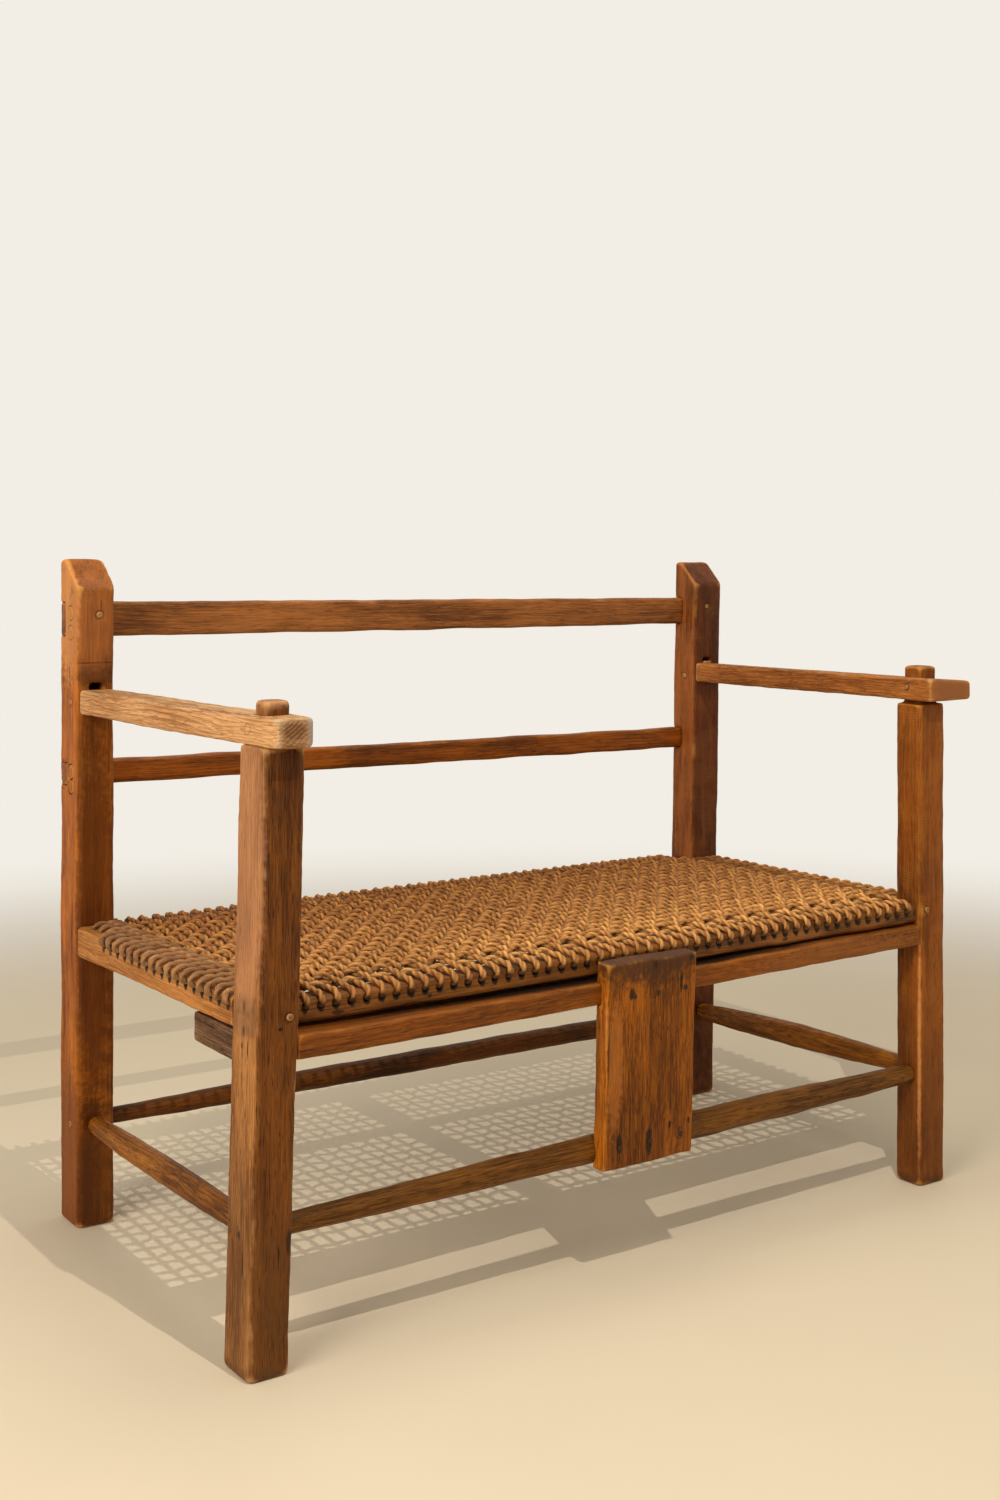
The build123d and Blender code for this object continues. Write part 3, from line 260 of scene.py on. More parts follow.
def end_group():
    """End grain: slanting dark lines, where a member is cut across."""
    recipe, given, out = start_group(
        "end grain lines",
        {"Place": "vector", "Along": "vector", "Pitch": "value", "Inside": "value"},
        {"Mask": "value"},
    )
    wave = wave_along(recipe, given, 45.0, 0.008)
    line = recipe.swing(recipe.noise(given["Place"], 700.0), 2.0, wave)
    line = recipe.ramp(line, -0.6, 0.8, 0.45, 1.0)
    recipe.feed(out["Mask"], recipe.times(line, given["Inside"]))
    return recipe.tree


def face_shading_group():
    """How far a face looks one way, to tint the faces that look that way: partly the wood's own tone, partly
    painted light and shade.
    """
    recipe, given, out = start_group(
        "face tone and painted light", {"Normal": "vector", "Way": "vector"}, {"Mask": "value"},
    )
    facing = recipe.vector("DOT_PRODUCT", given["Normal"], given["Way"])
    recipe.feed(out["Mask"], recipe.ramp(facing, 0.35, 0.8))
    return recipe.tree


def cord_hole_shade_group():
    """Painted shade at a row of cord holes, where the cords go in: an even row of ovals along one way, at one
    height.
    """
    recipe, given, out = start_group(
        "painted shade at cord holes",
        {"Place": "vector", "Along": "vector", "Upright": "vector", "First": "value", "Last": "value",
         "Pitch": "value", "Rise": "value"},
        {"Mask": "value"},
    )
    way = recipe.vector("DOT_PRODUCT", given["Place"], given["Along"])
    turn = recipe.sum("DIVIDE", recipe.sum("SUBTRACT", way, given["First"]), given["Pitch"])
    beside = recipe.sum("SUBTRACT", recipe.sum("FRACT", recipe.sum("ADD", turn, 0.5)), 0.5)
    beside = recipe.times(beside, given["Pitch"])
    rise = recipe.vector("DOT_PRODUCT", given["Place"], given["Upright"])
    below = recipe.times(recipe.sum("SUBTRACT", rise, given["Rise"]), 0.75)
    far = recipe.sum("SQRT", recipe.sum("MULTIPLY_ADD", beside, beside, recipe.times(below, below)))
    far = recipe.swing(recipe.noise(given["Place"], 160.0), 0.004, far)
    within = recipe.sum("LESS_THAN", way, given["Last"])
    recipe.feed(out["Mask"], recipe.times(recipe.ramp(far, 0.0062, 0.004), within))
    return recipe.tree


TIMBER = timber_group()
HANDLED = handled_group()
SPOT = spot_group()
SAW = saw_group()
ENDS = end_group()
FACE_SHADING = face_shading_group()
CORD_HOLE_SHADES = cord_hole_shade_group()

# Turns that bring the grain, which runs along x, y or z, to the third axis
GRAIN_TURN = {"x": (0.0, math.pi / 2, 0.0), "y": (math.pi / 2, 0.0, 0.0), "z": (0.0, 0.0, 0.0)}


def in_metres(place, shift=0.0):
    return tuple((np.array(place) + shift) * MILLIMETRE)


def spot_masks(recipe, here, centre, reach, ragged):
    return recipe.group(SPOT, {
        "Place": here, "Centre": in_metres(centre, PART_SHIFT), "Reach": in_metres(reach), "Ragged": ragged,
    })


def wood(name, grain, pith, light, dark, worn, rings, tone, streaks=1.8, pores=0.6, splits=0.6, wear=0.6,
         grime=0.6, sheen=0.52, faces=(), saws=(), spots=(), holes=(), ends=()):
    """A wood finish, its lengths in millimetres. rings: (width, wander, depth of tone).
    faces: (way, colour, share), a tint on faces that look one way, partly painted light and shade. saws:
    (along, pitch, depth of tone).
    spots: (centre, reach, ragged, colour, share), with True at the end for a rim alone.
    ends: (centre, reach, along, pitch, colour, share) of end grain.
    holes: (along, upright, first, last, pitch, rise) of a row of cord holes, with painted shade at each."""
    material, recipe, shader, here = start_material(name)
    turned = recipe.place("ShaderNodeMapping", {"vector_type": "POINT"}, {
        "Vector": here, "Rotation": GRAIN_TURN[grain], "Location": in_metres(pith),
    }).outputs["Vector"]
    ring_width, ring_wander, ring_depth = rings
    pore = tuple(part * PORE_SHADE for part in paint(*dark)[:3]) + (1.0,)
    timber = recipe.group(TIMBER, {
        "Place": turned, "Ring Width": ring_width * MILLIMETRE, "Ring Wander": ring_wander * MILLIMETRE,
        "Ring Depth": ring_depth, "Streak Depth": streaks, "Pore Depth": pores, "Tone Depth": tone,
        "Split Depth": splits, "Light": paint(*light), "Dark": paint(*dark), "Pore": pore,
    })
    colour, height = timber["Color"], timber["Height"]
    # Faces tinted by the way they look: partly the wood's own tone, partly painted light and shade
    if faces:
        normal = recipe.place("ShaderNodeNewGeometry").outputs["Normal"]
    for way, shade, share in faces:
        mask = recipe.times(recipe.group(FACE_SHADING, {"Normal": normal, "Way": way})["Mask"], share)
        colour = recipe.blend(mask, colour, recipe.blend(1.0, colour, (*shade, 1.0), "MULTIPLY"))
    for along, pitch, depth in saws:
        feeds = {"Place": here, "Along": along, "Pitch": pitch * MILLIMETRE, "Depth": depth}
        mask = recipe.group(SAW, feeds)["Mask"]
        colour = recipe.blend(mask, colour, paint(*worn))
        height = recipe.sum("MULTIPLY_ADD", mask, 0.8, height)
    for centre, reach, ragged, shade, share, *ring in spots:
        masks = spot_masks(recipe, here, centre, reach, ragged)
        mask = recipe.times(masks["Ring" if ring else "Mask"], share)
        colour = recipe.blend(mask, colour, paint(*shade))
        height = recipe.sum("MULTIPLY_ADD", mask, -1.2, height)
    for centre, reach, along, pitch, shade, share in ends:
        inside = spot_masks(recipe, here, centre, reach, END_RAGGED)["Mask"]
        feeds = {"Place": here, "Along": along, "Pitch": pitch * MILLIMETRE, "Inside": inside}
        mask = recipe.times(recipe.group(ENDS, feeds)["Mask"], share)
        colour = recipe.blend(mask, colour, paint(*shade))
    # Painted shade at each cord hole
    for along, upright, first, last, pitch, rise in holes:
        mask = recipe.group(CORD_HOLE_SHADES, {
            "Place": here, "Along": along, "Upright": upright, "First": first * MILLIMETRE,
            "Last": last * MILLIMETRE, "Pitch": pitch * MILLIMETRE, "Rise": rise * MILLIMETRE,
        })["Mask"]
        colour = recipe.blend(mask, colour, paint(*CORD_HOLE_SHADE))
    handled = recipe.group(HANDLED, {
        "Place": turned, "Color": colour, "Rub": recipe.attribute("rub"), "Worn": paint(*worn), "Wear": wear,
        "Grime": paint(*GRIME), "Grime Depth": grime,
    })
    recipe.feed(shader.inputs["Base Color"], handled["Color"])
    rough = recipe.sum("MULTIPLY_ADD", handled["Mask"], -0.06, recipe.sum("ADD", timber["Dryness"], sheen))
    recipe.feed(shader.inputs["Roughness"], rough)
    recipe.relief(shader, height, 0.45, 0.0006)
    shader.inputs["Specular IOR Level"].default_value = 0.28
    shader.inputs["Specular Tint"].default_value = WARM_SHEEN
    return material


# Worn members: a CAD member rebuilt on a fine even mesh, its arrises rubbed round and its faces uneven

WELD_REACH = 0.00002
ROUNDING_SHARE = 0.55
RUB_REACH = 5
RUB_GAIN = 2.2
FLOOR_CALM = 0.03


def uneven_waves(seed, shortest, longest, height, count=16):
    """A smooth wandering of space made of a few long waves, the same for all members, so joints stay shut."""
    dice = np.random.default_rng(seed)
    lengths = np.exp(dice.uniform(np.log(shortest), np.log(longest), count))
    ways = dice.normal(size=(count, 3))
    ways *= (math.tau / lengths / np.linalg.norm(ways, axis=1))[:, None]
    pushes = dice.normal(size=(count, 3)) * height * (lengths / longest)[:, None] ** 0.7
    return ways, dice.uniform(0, math.tau, count), pushes


WAVES = [uneven_waves(11, 0.09, 0.5, 0.00034), uneven_waves(12, 0.014, 0.05, 0.00009)]


def wandering(points):
    """How far each point is pushed. It fades out towards the floor, so that the feet stay flat."""
    total = np.zeros_like(points)
    for ways, starts, pushes in WAVES:
        total += np.sin(points @ ways.T + starts) @ pushes
    return total * np.clip(points[:, 2:3] / FLOOR_CALM, 0.0, 1.0)


def read_rows(items, label, width, kind=float):
    values = np.empty(len(items) * width, kind)
    items.foreach_get(label, values)
    return values.reshape(-1, width)


def smoothed(values, ends, rounds, share):
    """Each point's value drawn some rounds long, by a share, to its neighbours' mean."""
    count = len(values)
    neighbours = np.maximum(np.bincount(ends.ravel(), minlength=count)[:, None], 1)
    owners = np.concatenate([ends[:, 0], ends[:, 1]])
    for _ in range(rounds):
        total = np.empty_like(values)
        for axis in range(values.shape[1]):
            there = np.concatenate([values[ends[:, 1], axis], values[ends[:, 0], axis]])
            total[:, axis] = np.bincount(owners, there, count)
        values = values * (1 - share) + total / neighbours * share
    return values


def member(node, material, grid, rounds=3, swell=0.0):
    """A worn copy of a CAD node. grid is the mesh size and swell an outward growth, in millimetres."""
    blank = add_object(node + "_blank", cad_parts[node].data.copy())
    blank.modifiers.new("weld", "WELD").merge_threshold = WELD_REACH
    remesh = blank.modifiers.new("grid", "REMESH")
    remesh.mode = "VOXEL"
    remesh.voxel_size = grid * MILLIMETRE
    graph = bpy.context.evaluated_depsgraph_get()
    mesh = bpy.data.meshes.new_from_object(blank.evaluated_get(graph))
    bpy.data.objects.remove(blank)
    ends = read_rows(mesh.edges, "vertices", 2, int)
    points = smoothed(read_rows(mesh.vertices, "co", 3), ends, rounds, ROUNDING_SHARE)
    mesh.vertices.foreach_set("co", points.ravel())
    mesh.update()
    normals = read_rows(mesh.vertices, "normal", 3)
    rounded = smoothed(points, ends, RUB_REACH, 1.0)
    rub = np.einsum("ij,ij->i", points - rounded, normals)[:, None] / (grid * MILLIMETRE)
    rub = smoothed(rub, ends, 2, 0.6)
    points = points + wandering(points) + normals * swell * MILLIMETRE
    mesh.vertices.foreach_set("co", points.ravel())
    attribute = mesh.attributes.new("rub", "FLOAT", "POINT")
    attribute.data.foreach_set("value", (rub[:, 0] * RUB_GAIN).astype(np.float32))
    mesh.materials.clear()
    mesh.materials.append(material)
    mesh.shade_smooth()
    mesh.update()
    piece = add_object(node + "_worn", mesh)
    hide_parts(node)
    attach(piece, "root")


# Finishes, member by member. Spots and end grain are placed in millimetres round the settle's middle,
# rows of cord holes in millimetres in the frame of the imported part.

DARK_CRACK = (26, 12, 5)
STAIN = (44, 22, 8)
JOINT_LINE = (28, 11, 4)
# Painted shade in holes and in gaps between parts
HOLE_AND_GAP_SHADE = (8, 4, 2)

rear_left_finish = wood(
    "red brown oak, rear left", "z", (-60, 25, 0), (192, 106, 20), (108, 48, 4), (217, 154, 77),
    rings=(5.5, 34, 0.25), streaks=1.7, pores=0.5, tone=2.0,
    # Painted shade: the front face darker, partly the wood's own tone
    faces=[((0, -1, 0), (0.53, 0.53, 0.42), 0.9)],
    saws=[((0, 0.15, 1), 2.6, 0.12)],
    spots=[*[((-567, y, z), (8, 10.6, 10.6), 0.05, JOINT_LINE, 1.0, True)
             for y, z in ((267.6, 816), (267.6, 843), (267.8, 603.8), (267.8, 624.3))],
           ((-567, 295, 834.5), (8, 10.5, 27), 0.05, JOINT_LINE, 0.6, True),
           ((-567, 294, 619), (8, 11, 20), 0.05, JOINT_LINE, 0.6, True),
           ((-567, 282, 622), (8, 12, 26), 0.9, (104, 52, 22), 0.6),
           ((-567, 269, 719), (8, 3, 10), 1.2, DARK_CRACK, 0.7),
           # Painted shade, partly the wood's own tone: the left face darker towards the floor
           ((-567, 275, 60), (50, 60, 200), 0.5, (100, 42, 0), 0.72),
           ((-571, 275, 850), (12, 60, 130), 0.8, (244, 168, 96), 0.5),
           ((-545, 236, 160), (26, 12, 26), 0.8, (40, 16, 2), 0.6),
           # Painted shade, partly the wood's own tone: the front face darker below the arm and towards the
           # floor
           ((-542, 240, 420), (40, 14, 330), 0.8, (84, 34, 0), 0.62),
           ((-542, 240, 60), (40, 14, 110), 0.7, (58, 26, 5), 0.6),
           ((-535.6, 240, 841), (6.6, 8, 6.6), 0.4, DARK_CRACK, 0.85, True),
           ((-540, 240, 775), (40, 12, 1.6), 0.15, DARK_CRACK, 0.8),
           ((-540, 240, 757), (40, 12, 19), 0.8, (66, 30, 8), 0.65),
           ((-533, 240, 853), (1.6, 12, 12), 0.4, DARK_CRACK, 0.95),
           # Painted shade inside the arm's mortise
           ((-539.5, 261, 745), (18, 22, 13), 0.1, HOLE_AND_GAP_SHADE, 1.0),
           ((-542, 252, 830), (50, 40, 85), 0.6, (150, 90, 52), 0.4)],
    ends=[((-545, 258, 872), (30, 24, 18), (0.55, 0.8, 0.2), 4.2, (76, 40, 18), 0.62)],
)
rear_right_finish = wood(
    "red brown oak, rear right", "z", (-480, -180, 0), (153, 83, 31), (86, 41, 12), (189, 125, 64),
    rings=(6.5, 40, 0.25), streaks=1.7, pores=0.5, tone=2.2,
    # Painted shade: the front face darker, partly the wood's own tone
    faces=[((0, -1, 0), (0.35, 0.24, 0.06), 0.9)],
    saws=[((0.1, 0.1, 1), 2.2, 0.2)],
    spots=[((558.6, 228, 841), (6.4, 8, 6.4), 0.4, DARK_CRACK, 0.8, True)],
    ends=[((548, 244, 866), (30, 24, 18), (-0.55, 0.8, 0.2), 4.2, (70, 36, 16), 0.5)],
)
front_left_finish = wood(
    "open grain oak", "z", (620, 330, 0), (189, 127, 68), (102, 55, 19), (213, 159, 100),
    rings=(4.6, 26, 0.3), pores=0.9, tone=1.9, splits=0.8, sheen=0.6,
    # Painted shade: the front face darker, partly the wood's own tone
    faces=[((0, -1, 0), (0.33, 0.22, 0.05), 0.95)],
    spots=[((-578, -275, 70), (60, 60, 220), 0.6, (104, 68, 34), 0.32),
           ((-543, -312, 90), (26, 8, 110), 0.7, (64, 38, 16), 0.4),
           ((-575, -285, 404), (7, 60, 34), 0.7, (92, 58, 34), 0.5),
           ((-575, -285, 722), (12, 60, 64), 0.8, (110, 72, 48), 0.5),
           ((-543, -312, 640), (26, 8, 80), 0.8, (176, 118, 74), 0.35),
           ((-573, -292, 367), (9, 1.8, 13), 0.7, DARK_CRACK, 1.0),
           ((-573, -277.5, 369), (9, 2.6, 5), 0.6, DARK_CRACK, 1.0),
           ((-573, -281.5, 413), (8, 4, 12), 0.9, DARK_CRACK, 0.85),
           ((-573, -281.5, 386), (8, 4.5, 8), 0.9, DARK_CRACK, 0.85),
           # Painted shade in two old holes
           ((-578.5, -278.8, 158), (6, 2.8, 3.2), 0.3, HOLE_AND_GAP_SHADE, 1.0),
           ((-544, -315.6, 390.6), (3.2, 6, 2.8), 0.3, HOLE_AND_GAP_SHADE, 1.0),
           ((-544.5, -311.5, 139), (1.5, 6, 12), 0.9, DARK_CRACK, 0.9),
           ((-532.4, -316, 402), (6, 8, 6), 0.4, DARK_CRACK, 0.4, True),
           ((-556, -283, 0), (60, 60, 20), 0.8, (84, 56, 34), 0.6),
           ((-541, -291, 755), (24, 24, 13), 0.6, (166, 118, 84), 0.55),
           ((-528, -308, 751), (12, 8, 13), 1.1, (62, 38, 28), 0.7),
           ((-577, -256, 161), (9, 6, 7), 0.3, (60, 30, 12), 0.8, True),
           ((-577, -279, 158), (9, 5, 7), 0.7, (60, 30, 12), 0.7),
           ((-578, -290, 134), (9, 1.7, 22), 1.2, DARK_CRACK, 1.0),
           ((-571, -280, 590), (14, 60, 240), 0.6, (196, 138, 102), 0.35),
           ((-530, -311, 148), (6, 9, 18), 0.5, STAIN, 0.95)],
)
front_right_finish = wood(
    "red brown oak, front right", "z", (-430, 340, 0), (148, 79, 14), (81, 37, 3), (198, 136, 54),
    rings=(6.0, 36, 0.25), streaks=1.7, tone=2.1,
    saws=[((0, 0.1, 1), 2.4, 0.22)],
    spots=[((535, -270, 90), (60, 60, 260), 0.6, (92, 46, 12), 0.4),
           ((511.5, -292.5, 370), (5, 5, 420), 0.4, (206, 138, 80), 0.75),
           ((511.9, -292.1, 370), (1.2, 1.2, 420), 0.3, (84, 42, 16), 0.85),
           ((535, -265, 0), (60, 60, 18), 0.8, (70, 42, 22), 0.6)],
)
left_arm_finish = wood(
    "arm oak, left", "y", (620, -640, 0), (214, 161, 103), (149, 95, 46), (199, 173, 145),
    rings=(5.5, 44, 0.7), streaks=1.7, tone=1.7, wear=0.7,
    # Painted light and shade: the left side lighter, the top darker, the front end retinted, partly the
    # wood's own tone
    faces=[((-1, 0, 0), (1.25, 1.29, 1.42), 0.9), ((0, 0, 1), (0.9, 0.94, 0.95), 0.9),
           ((0, -1, 0), (0.8, 0.95, 1.3), 0.9)],
    ends=[((-543, -347, 725), (17, 6, 14), (-0.6, 0.0, 0.8), 4.6, (58, 30, 10), 1.0),
          ((-541, -347, 722), (26, 6, 22), (-0.6, 0.0, 0.8), 4.6, (120, 76, 38), 0.6)],
    spots=[((-521, -345, 722), (8, 7, 24), 0.5, (176, 160, 150), 0.8),
           ((-565, -276, 723), (6, 7, 6), 0.5, (112, 64, 26), 0.85, True),
           ((-562, -140, 739), (3.2, 190, 3.2), 1.1, (100, 56, 20), 0.7)],
)
right_arm_finish = wood(
    "arm oak, right", "y", (-520, -660, 0), (186, 114, 50), (114, 58, 17), (201, 156, 100),
    rings=(5.0, 40, 0.45), streaks=1.7, tone=1.8,
    spots=[((556, -315, 728), (60, 5, 24), 0.5, (172, 108, 58), 0.8),
           ((510, -266.4, 730), (8, 5.2, 5.2), 0.4, DARK_CRACK, 0.95, True)],
    ends=[((556, -315, 728), (50, 6, 24), (0.7, 0.0, 0.7), 2.8, (96, 54, 28), 0.55)],
)
top_rail_finish = wood(
    "back rail oak, top", "x", (760, -120, 0), (156, 95, 45), (88, 46, 16), (186, 122, 69),
    rings=(5.0, 34, 0.4), tone=2.3, sheen=0.44,
)
middle_rail_finish = wood(
    "back rail oak, middle", "x", (580, 240, 0), (151, 77, 11), (80, 36, 3), (189, 114, 33),
    rings=(5.5, 40, 0.45), tone=2.4, sheen=0.44,
)
dark_rail_finish = wood(
    "dark rail oak", "x", (400, -260, 0), (137, 82, 19), (60, 30, 4), (164, 102, 36),
    rings=(4.0, 24, 0.35), streaks=1.7, tone=2.2, wear=0.5, grime=0.9,
)
front_rail_finish = wood(
    "dark rail oak, front", "x", (400, -260, 0), (138, 83, 31), (61, 31, 9), (160, 100, 47),
    rings=(4.0, 24, 0.35), streaks=1.7, tone=2.2, wear=0.5, grime=0.9,
    holes=[((1, 0, 0), (0, 0, 1), -507.05, 500.0, LONG_PITCH, 401.2)],
    # Painted shade in the gap below the front seat rail
    spots=[((0, -285, 383), (620, 12, 4.2), 0.3, HOLE_AND_GAP_SHADE, 0.95),
           ((270, -285, 393), (70, 14, 16), 0.8, (168, 108, 54), 0.5),
           ((-100, -285, 393), (110, 14, 16), 0.8, (76, 38, 10), 0.4),
           ((-455, -285, 391), (9, 8, 4), 0.9, DARK_CRACK, 0.8),
           ((-330, -285, 393), (4, 8, 3), 0.9, DARK_CRACK, 0.8),
           ((250, -285, 392), (7, 8, 3), 0.9, DARK_CRACK, 0.8)],
)
side_rail_finish = wood(
    "side rail oak", "y", (560, 440, 0), (203, 133, 61), (125, 70, 23), (212, 154, 88),
    rings=(4.6, 30, 0.4), tone=2.0, grime=0.4,
    holes=[((0, 1, 0), (0, 0.0076, 1), -219.0, 177.0, SIDE_PITCH, 405.0)],
)
lower_rail_finish = wood(
    "lower rail oak", "x", (-330, -280, 0), (144, 77, 15), (73, 35, 6), (172, 107, 32),
    rings=(4.4, 40, 0.35), tone=1.5,
    # Painted shade in the gap above the lower front rail
    spots=[((0, -280, 380), (620, 24, 3.2), 0.3, HOLE_AND_GAP_SHADE, 0.95),
           ((330, -286, 358), (230, 30, 34), 0.8, (172, 108, 54), 0.28)],
)
board_finish = wood(
    "board wood", "z", (60, 420, 0), (168, 93, 13), (78, 36, 3), (182, 126, 50),
    rings=(3.6, 30, 0.25), pores=0.7, tone=2.0,
    # Painted light: the left side much lighter, partly the wood's own tone
    faces=[((-1, 0, 0), (1.9, 1.95, 1.45), 0.7)],
    spots=[((-72, -317, 270), (15, 30, 110), 0.8, (190, 114, 46), 0.45),
           ((-86.5, -317, 265), (3, 4.5, 130), 0.4, (216, 138, 72), 0.75),
           ((-82, -318, 285), (1.4, 14, 52), 0.9, DARK_CRACK, 0.75),
           ((-12, -308, 414), (130, 45, 54), 0.9, (62, 34, 18), 0.85),
           ((50, -318, 399), (5, 12, 6), 0.6, DARK_CRACK, 0.75),
           ((-11, -319, 363), (7, 12, 9), 0.3, (60, 26, 8), 0.9, True),
           ((-48, -319, 363), (5, 12, 9), 0.7, DARK_CRACK, 0.9),
           ((34, -319, 368), (3.4, 12, 16), 0.7, DARK_CRACK, 0.95),
           ((-9, -320, 396), (4, 12, 6), 0.7, DARK_CRACK, 0.7),
           ((-62, -312, 172), (5.5, 14, 17), 0.7, DARK_CRACK, 0.95),
           ((-14, -312, 169), (6.5, 14, 25), 0.7, DARK_CRACK, 0.95),
           # Painted shade in an old hole
           ((20, -313, 184), (2.6, 12, 7), 0.6, HOLE_AND_GAP_SHADE, 1.0),
           ((52, -313, 185), (2.4, 12, 6), 0.6, DARK_CRACK, 0.9),
           ((37, -312, 170), (6, 14, 7), 0.4, DARK_CRACK, 0.85, True)],
)
shaved_finish = wood(
    "shaved wood, along", "x", (-150, -262, 0), (129, 79, 20), (62, 32, 3), (158, 105, 40),
    rings=(3.4, 26, 0.5), pores=0.8, tone=2.2, sheen=0.5,
)
dark_shaved_finish = wood(
    "shaved wood, rear", "x", (-130, 262, 0), (105, 54, 4), (45, 19, 1), (145, 87, 22),
    rings=(3.4, 26, 0.5), pores=0.8, tone=2.2, sheen=0.5,
)
side_shaved_finish = wood(
    "shaved wood, sides", "y", (540, 150, 0), (169, 101, 14), (85, 41, 2), (195, 124, 32),
    rings=(3.4, 26, 0.5), pores=0.8, tone=2.0, sheen=0.5,
)
rough_finish = wood(
    "rough wood", "y", (560, 380, 0), (151, 112, 79), (75, 48, 33), (168, 136, 107),
    rings=(3.0, 20, 0.4), streaks=1.6, pores=0.9, tone=2.0, sheen=0.75,
)
peg_finish = wood(
    "peg wood", "y", (0, 0, 0), (178, 124, 72), (104, 64, 32), (190, 144, 100),
    rings=(1.6, 6, 0.4), streaks=1.6, tone=1.6, splits=0.0, sheen=0.6,
)


def iron_finish():
    """Nearly black iron with patches of dull rust."""
    material, recipe, shader, here = start_material("old iron")
    crust = recipe.noise(here, 900.0, 3.0, 0.6)
    rust = recipe.ramp(crust, 0.42, 0.62)
    recipe.feed(shader.inputs["Base Color"], recipe.blend(rust, paint(30, 18, 10), paint(62, 33, 16)))
    recipe.feed(shader.inputs["Roughness"], recipe.ramp(crust, 0.3, 0.7, 0.6, 0.9))
    shader.inputs["Specular Tint"].default_value = WARM_SHEEN
    recipe.relief(shader, crust, 0.5, 0.0003)
    return material


old_iron = iron_finish()
members = [
    ("rear_left_post", rear_left_finish, 2.8, {}),
    ("rear_right_post", rear_right_finish, 2.8, {}),
    ("front_left_post", front_left_finish, 2.8, {"rounds": 5}),
    ("front_right_post", front_right_finish, 2.8, {}),
    ("left_arm", left_arm_finish, 2.2, {"rounds": 4}),
    ("right_arm", right_arm_finish, 2.2, {}),
    ("top_back_rail", top_rail_finish, 2.2, {}),
    ("middle_back_rail", middle_rail_finish, 2.2, {}),
    ("front_seat_rail", front_rail_finish, 1.6, {"rounds": 4, "swell": 0.4}),
    ("rear_seat_rail", dark_rail_finish, 1.8, {}),
    ("seat_brace", dark_rail_finish, 2.4, {}),
    ("left_seat_rail", side_rail_finish, 1.6, {}),
    ("right_seat_rail", side_rail_finish, 1.8, {}),
    ("lower_front_rail", lower_rail_finish, 2.0, {"rounds": 4, "swell": 0.8}),
    ("centre_board", board_finish, 1.8, {"rounds": 4}),
    ("front_stretcher", shaved_finish, 1.9, {"rounds": 2}),
    ("rear_stretcher", dark_shaved_finish, 1.9, {"rounds": 2}),
    ("left_stretcher", side_shaved_finish, 1.9, {"rounds": 2}),
    ("right_stretcher", side_shaved_finish, 1.9, {"rounds": 2}),
    ("left_seat_bearer", rough_finish, 2.0, {"rounds": 5}),
    ("frame_pegs", peg_finish, 0.8, {"rounds": 2, "swell": 0.3}),
    ("arm_peg", peg_finish, 0.7, {"rounds": 2, "swell": 0.3}),
    ("arm_wedge", peg_finish, 0.8, {"rounds": 2}),
    ("rear_left_plugs", rear_left_finish, 1.2, {"rounds": 2, "swell": 0.2}),
    ("board_nails", old_iron, 0.5, {"rounds": 2, "swell": 0.1}),
    ("frame_nails", old_iron, 0.5, {"rounds": 2, "swell": 0.1}),
]
for node, finish, grid, shape in members:
    member(node, finish, grid, **shape)

# Seat cords: lengths in millimetres round the settle's middle, as the part's own source has them

LONG_CORDS = [-497 + LONG_PITCH * index for index in range(50)]
SIDE_CORDS = [-238 + SIDE_PITCH * index for index in range(20)]

# The rails' outer faces and tops. The side rails' are given at their front, each with its gain to the back.
FRONT_FACE, FRONT_TOP = -285.0, 412.0
REAR_FACE, REAR_TOP = 285.0, 405.0
SIDE_FRONT, SIDE_LENGTH = -280.0, 528.0
LEFT_FACE, LEFT_TOP = (-571.5, 5.5), (419.0, -4.0)
RIGHT_FACE, RIGHT_TOP = (566.3, 10.5), (409.5, -5.5)

# Where a cord ends inside the front and rear rails, and how far in from a side rail's face
FRONT_INNER, REAR_INNER, SIDE_INNER = -250.0, 246.0, 39.0

# The weave's middle plane falls to the back
SEAT_FRONT, SEAT_REAR = -267.0, 265.0
SEAT_CROWN, SEAT_FALL = 416.3, 7.0

# From a side rail's face inwards, a cord stays level this far and then comes to the weave over this length
LEFT_LEVEL, LEFT_SLOPE = 40, 34
RIGHT_LEVEL, RIGHT_SLOPE = 30, 60

# From a rail's face or top to a cord's middle, and from its top down to the middle of its holes
CORD_LIFT, HOLE_DROP = 4.3, 9.2
EDGE_TURN, HOLE_TURN, HOLE_LEAD = 8.0, 5.0, 4
TURN_STEPS = 6
OVER_UNDER = 3.7
WEAVE_STEP, CORD_STEP, JOIN_GAP = 2.0, 3.5, 2

# Two plies: the length of one turn, and how far from the middle and how thick each is
PLY_LAY, PLY_OFFSET, PLY_RADIUS = 33.0, 1.3, 2.85
LAY_RANGE, GIRTH_RANGE, LAY_STARTS = (0.92, 1.08), (0.97, 1.03), 5000
ROPE_SIDES = 10
LONG_SWAY, SIDE_SWAY, THICKNESS_SWAY = 0.9, 1.1, 0.035
SWAY_FADE = 0.12

# The last side cords go straight down into the left rail's top
CORNER_CORDS = 3
CORNER_INSET, CORNER_BOTTOM, CORNER_TOP = 14.0, 32, 12

# The foremost side cord lies a little nearer to the front, lower and flatter
FIRST_CORD_SHIFT, FIRST_CORD_DROP, FIRST_CORD_SWING = 5.0, 2.2, 0.6

# Where that shift ends at the left and at the right, and over what length it grows from there
SHIFT_LEFT, SHIFT_LEFT_LENGTH = -500, 130
SHIFT_RIGHT, SHIFT_RIGHT_LENGTH = 510, 60

# A cord's bend over a rail begins here: places at the front and rear, distances from the faces at the sides
FRONT_BEND, REAR_BEND = -262, 258
LEFT_BEND, RIGHT_BEND = 36, 30

# The bend counts from this far above the hole. Over this reach it grows from low to high.
BEND_RISE, BEND_REACH = 3, 10
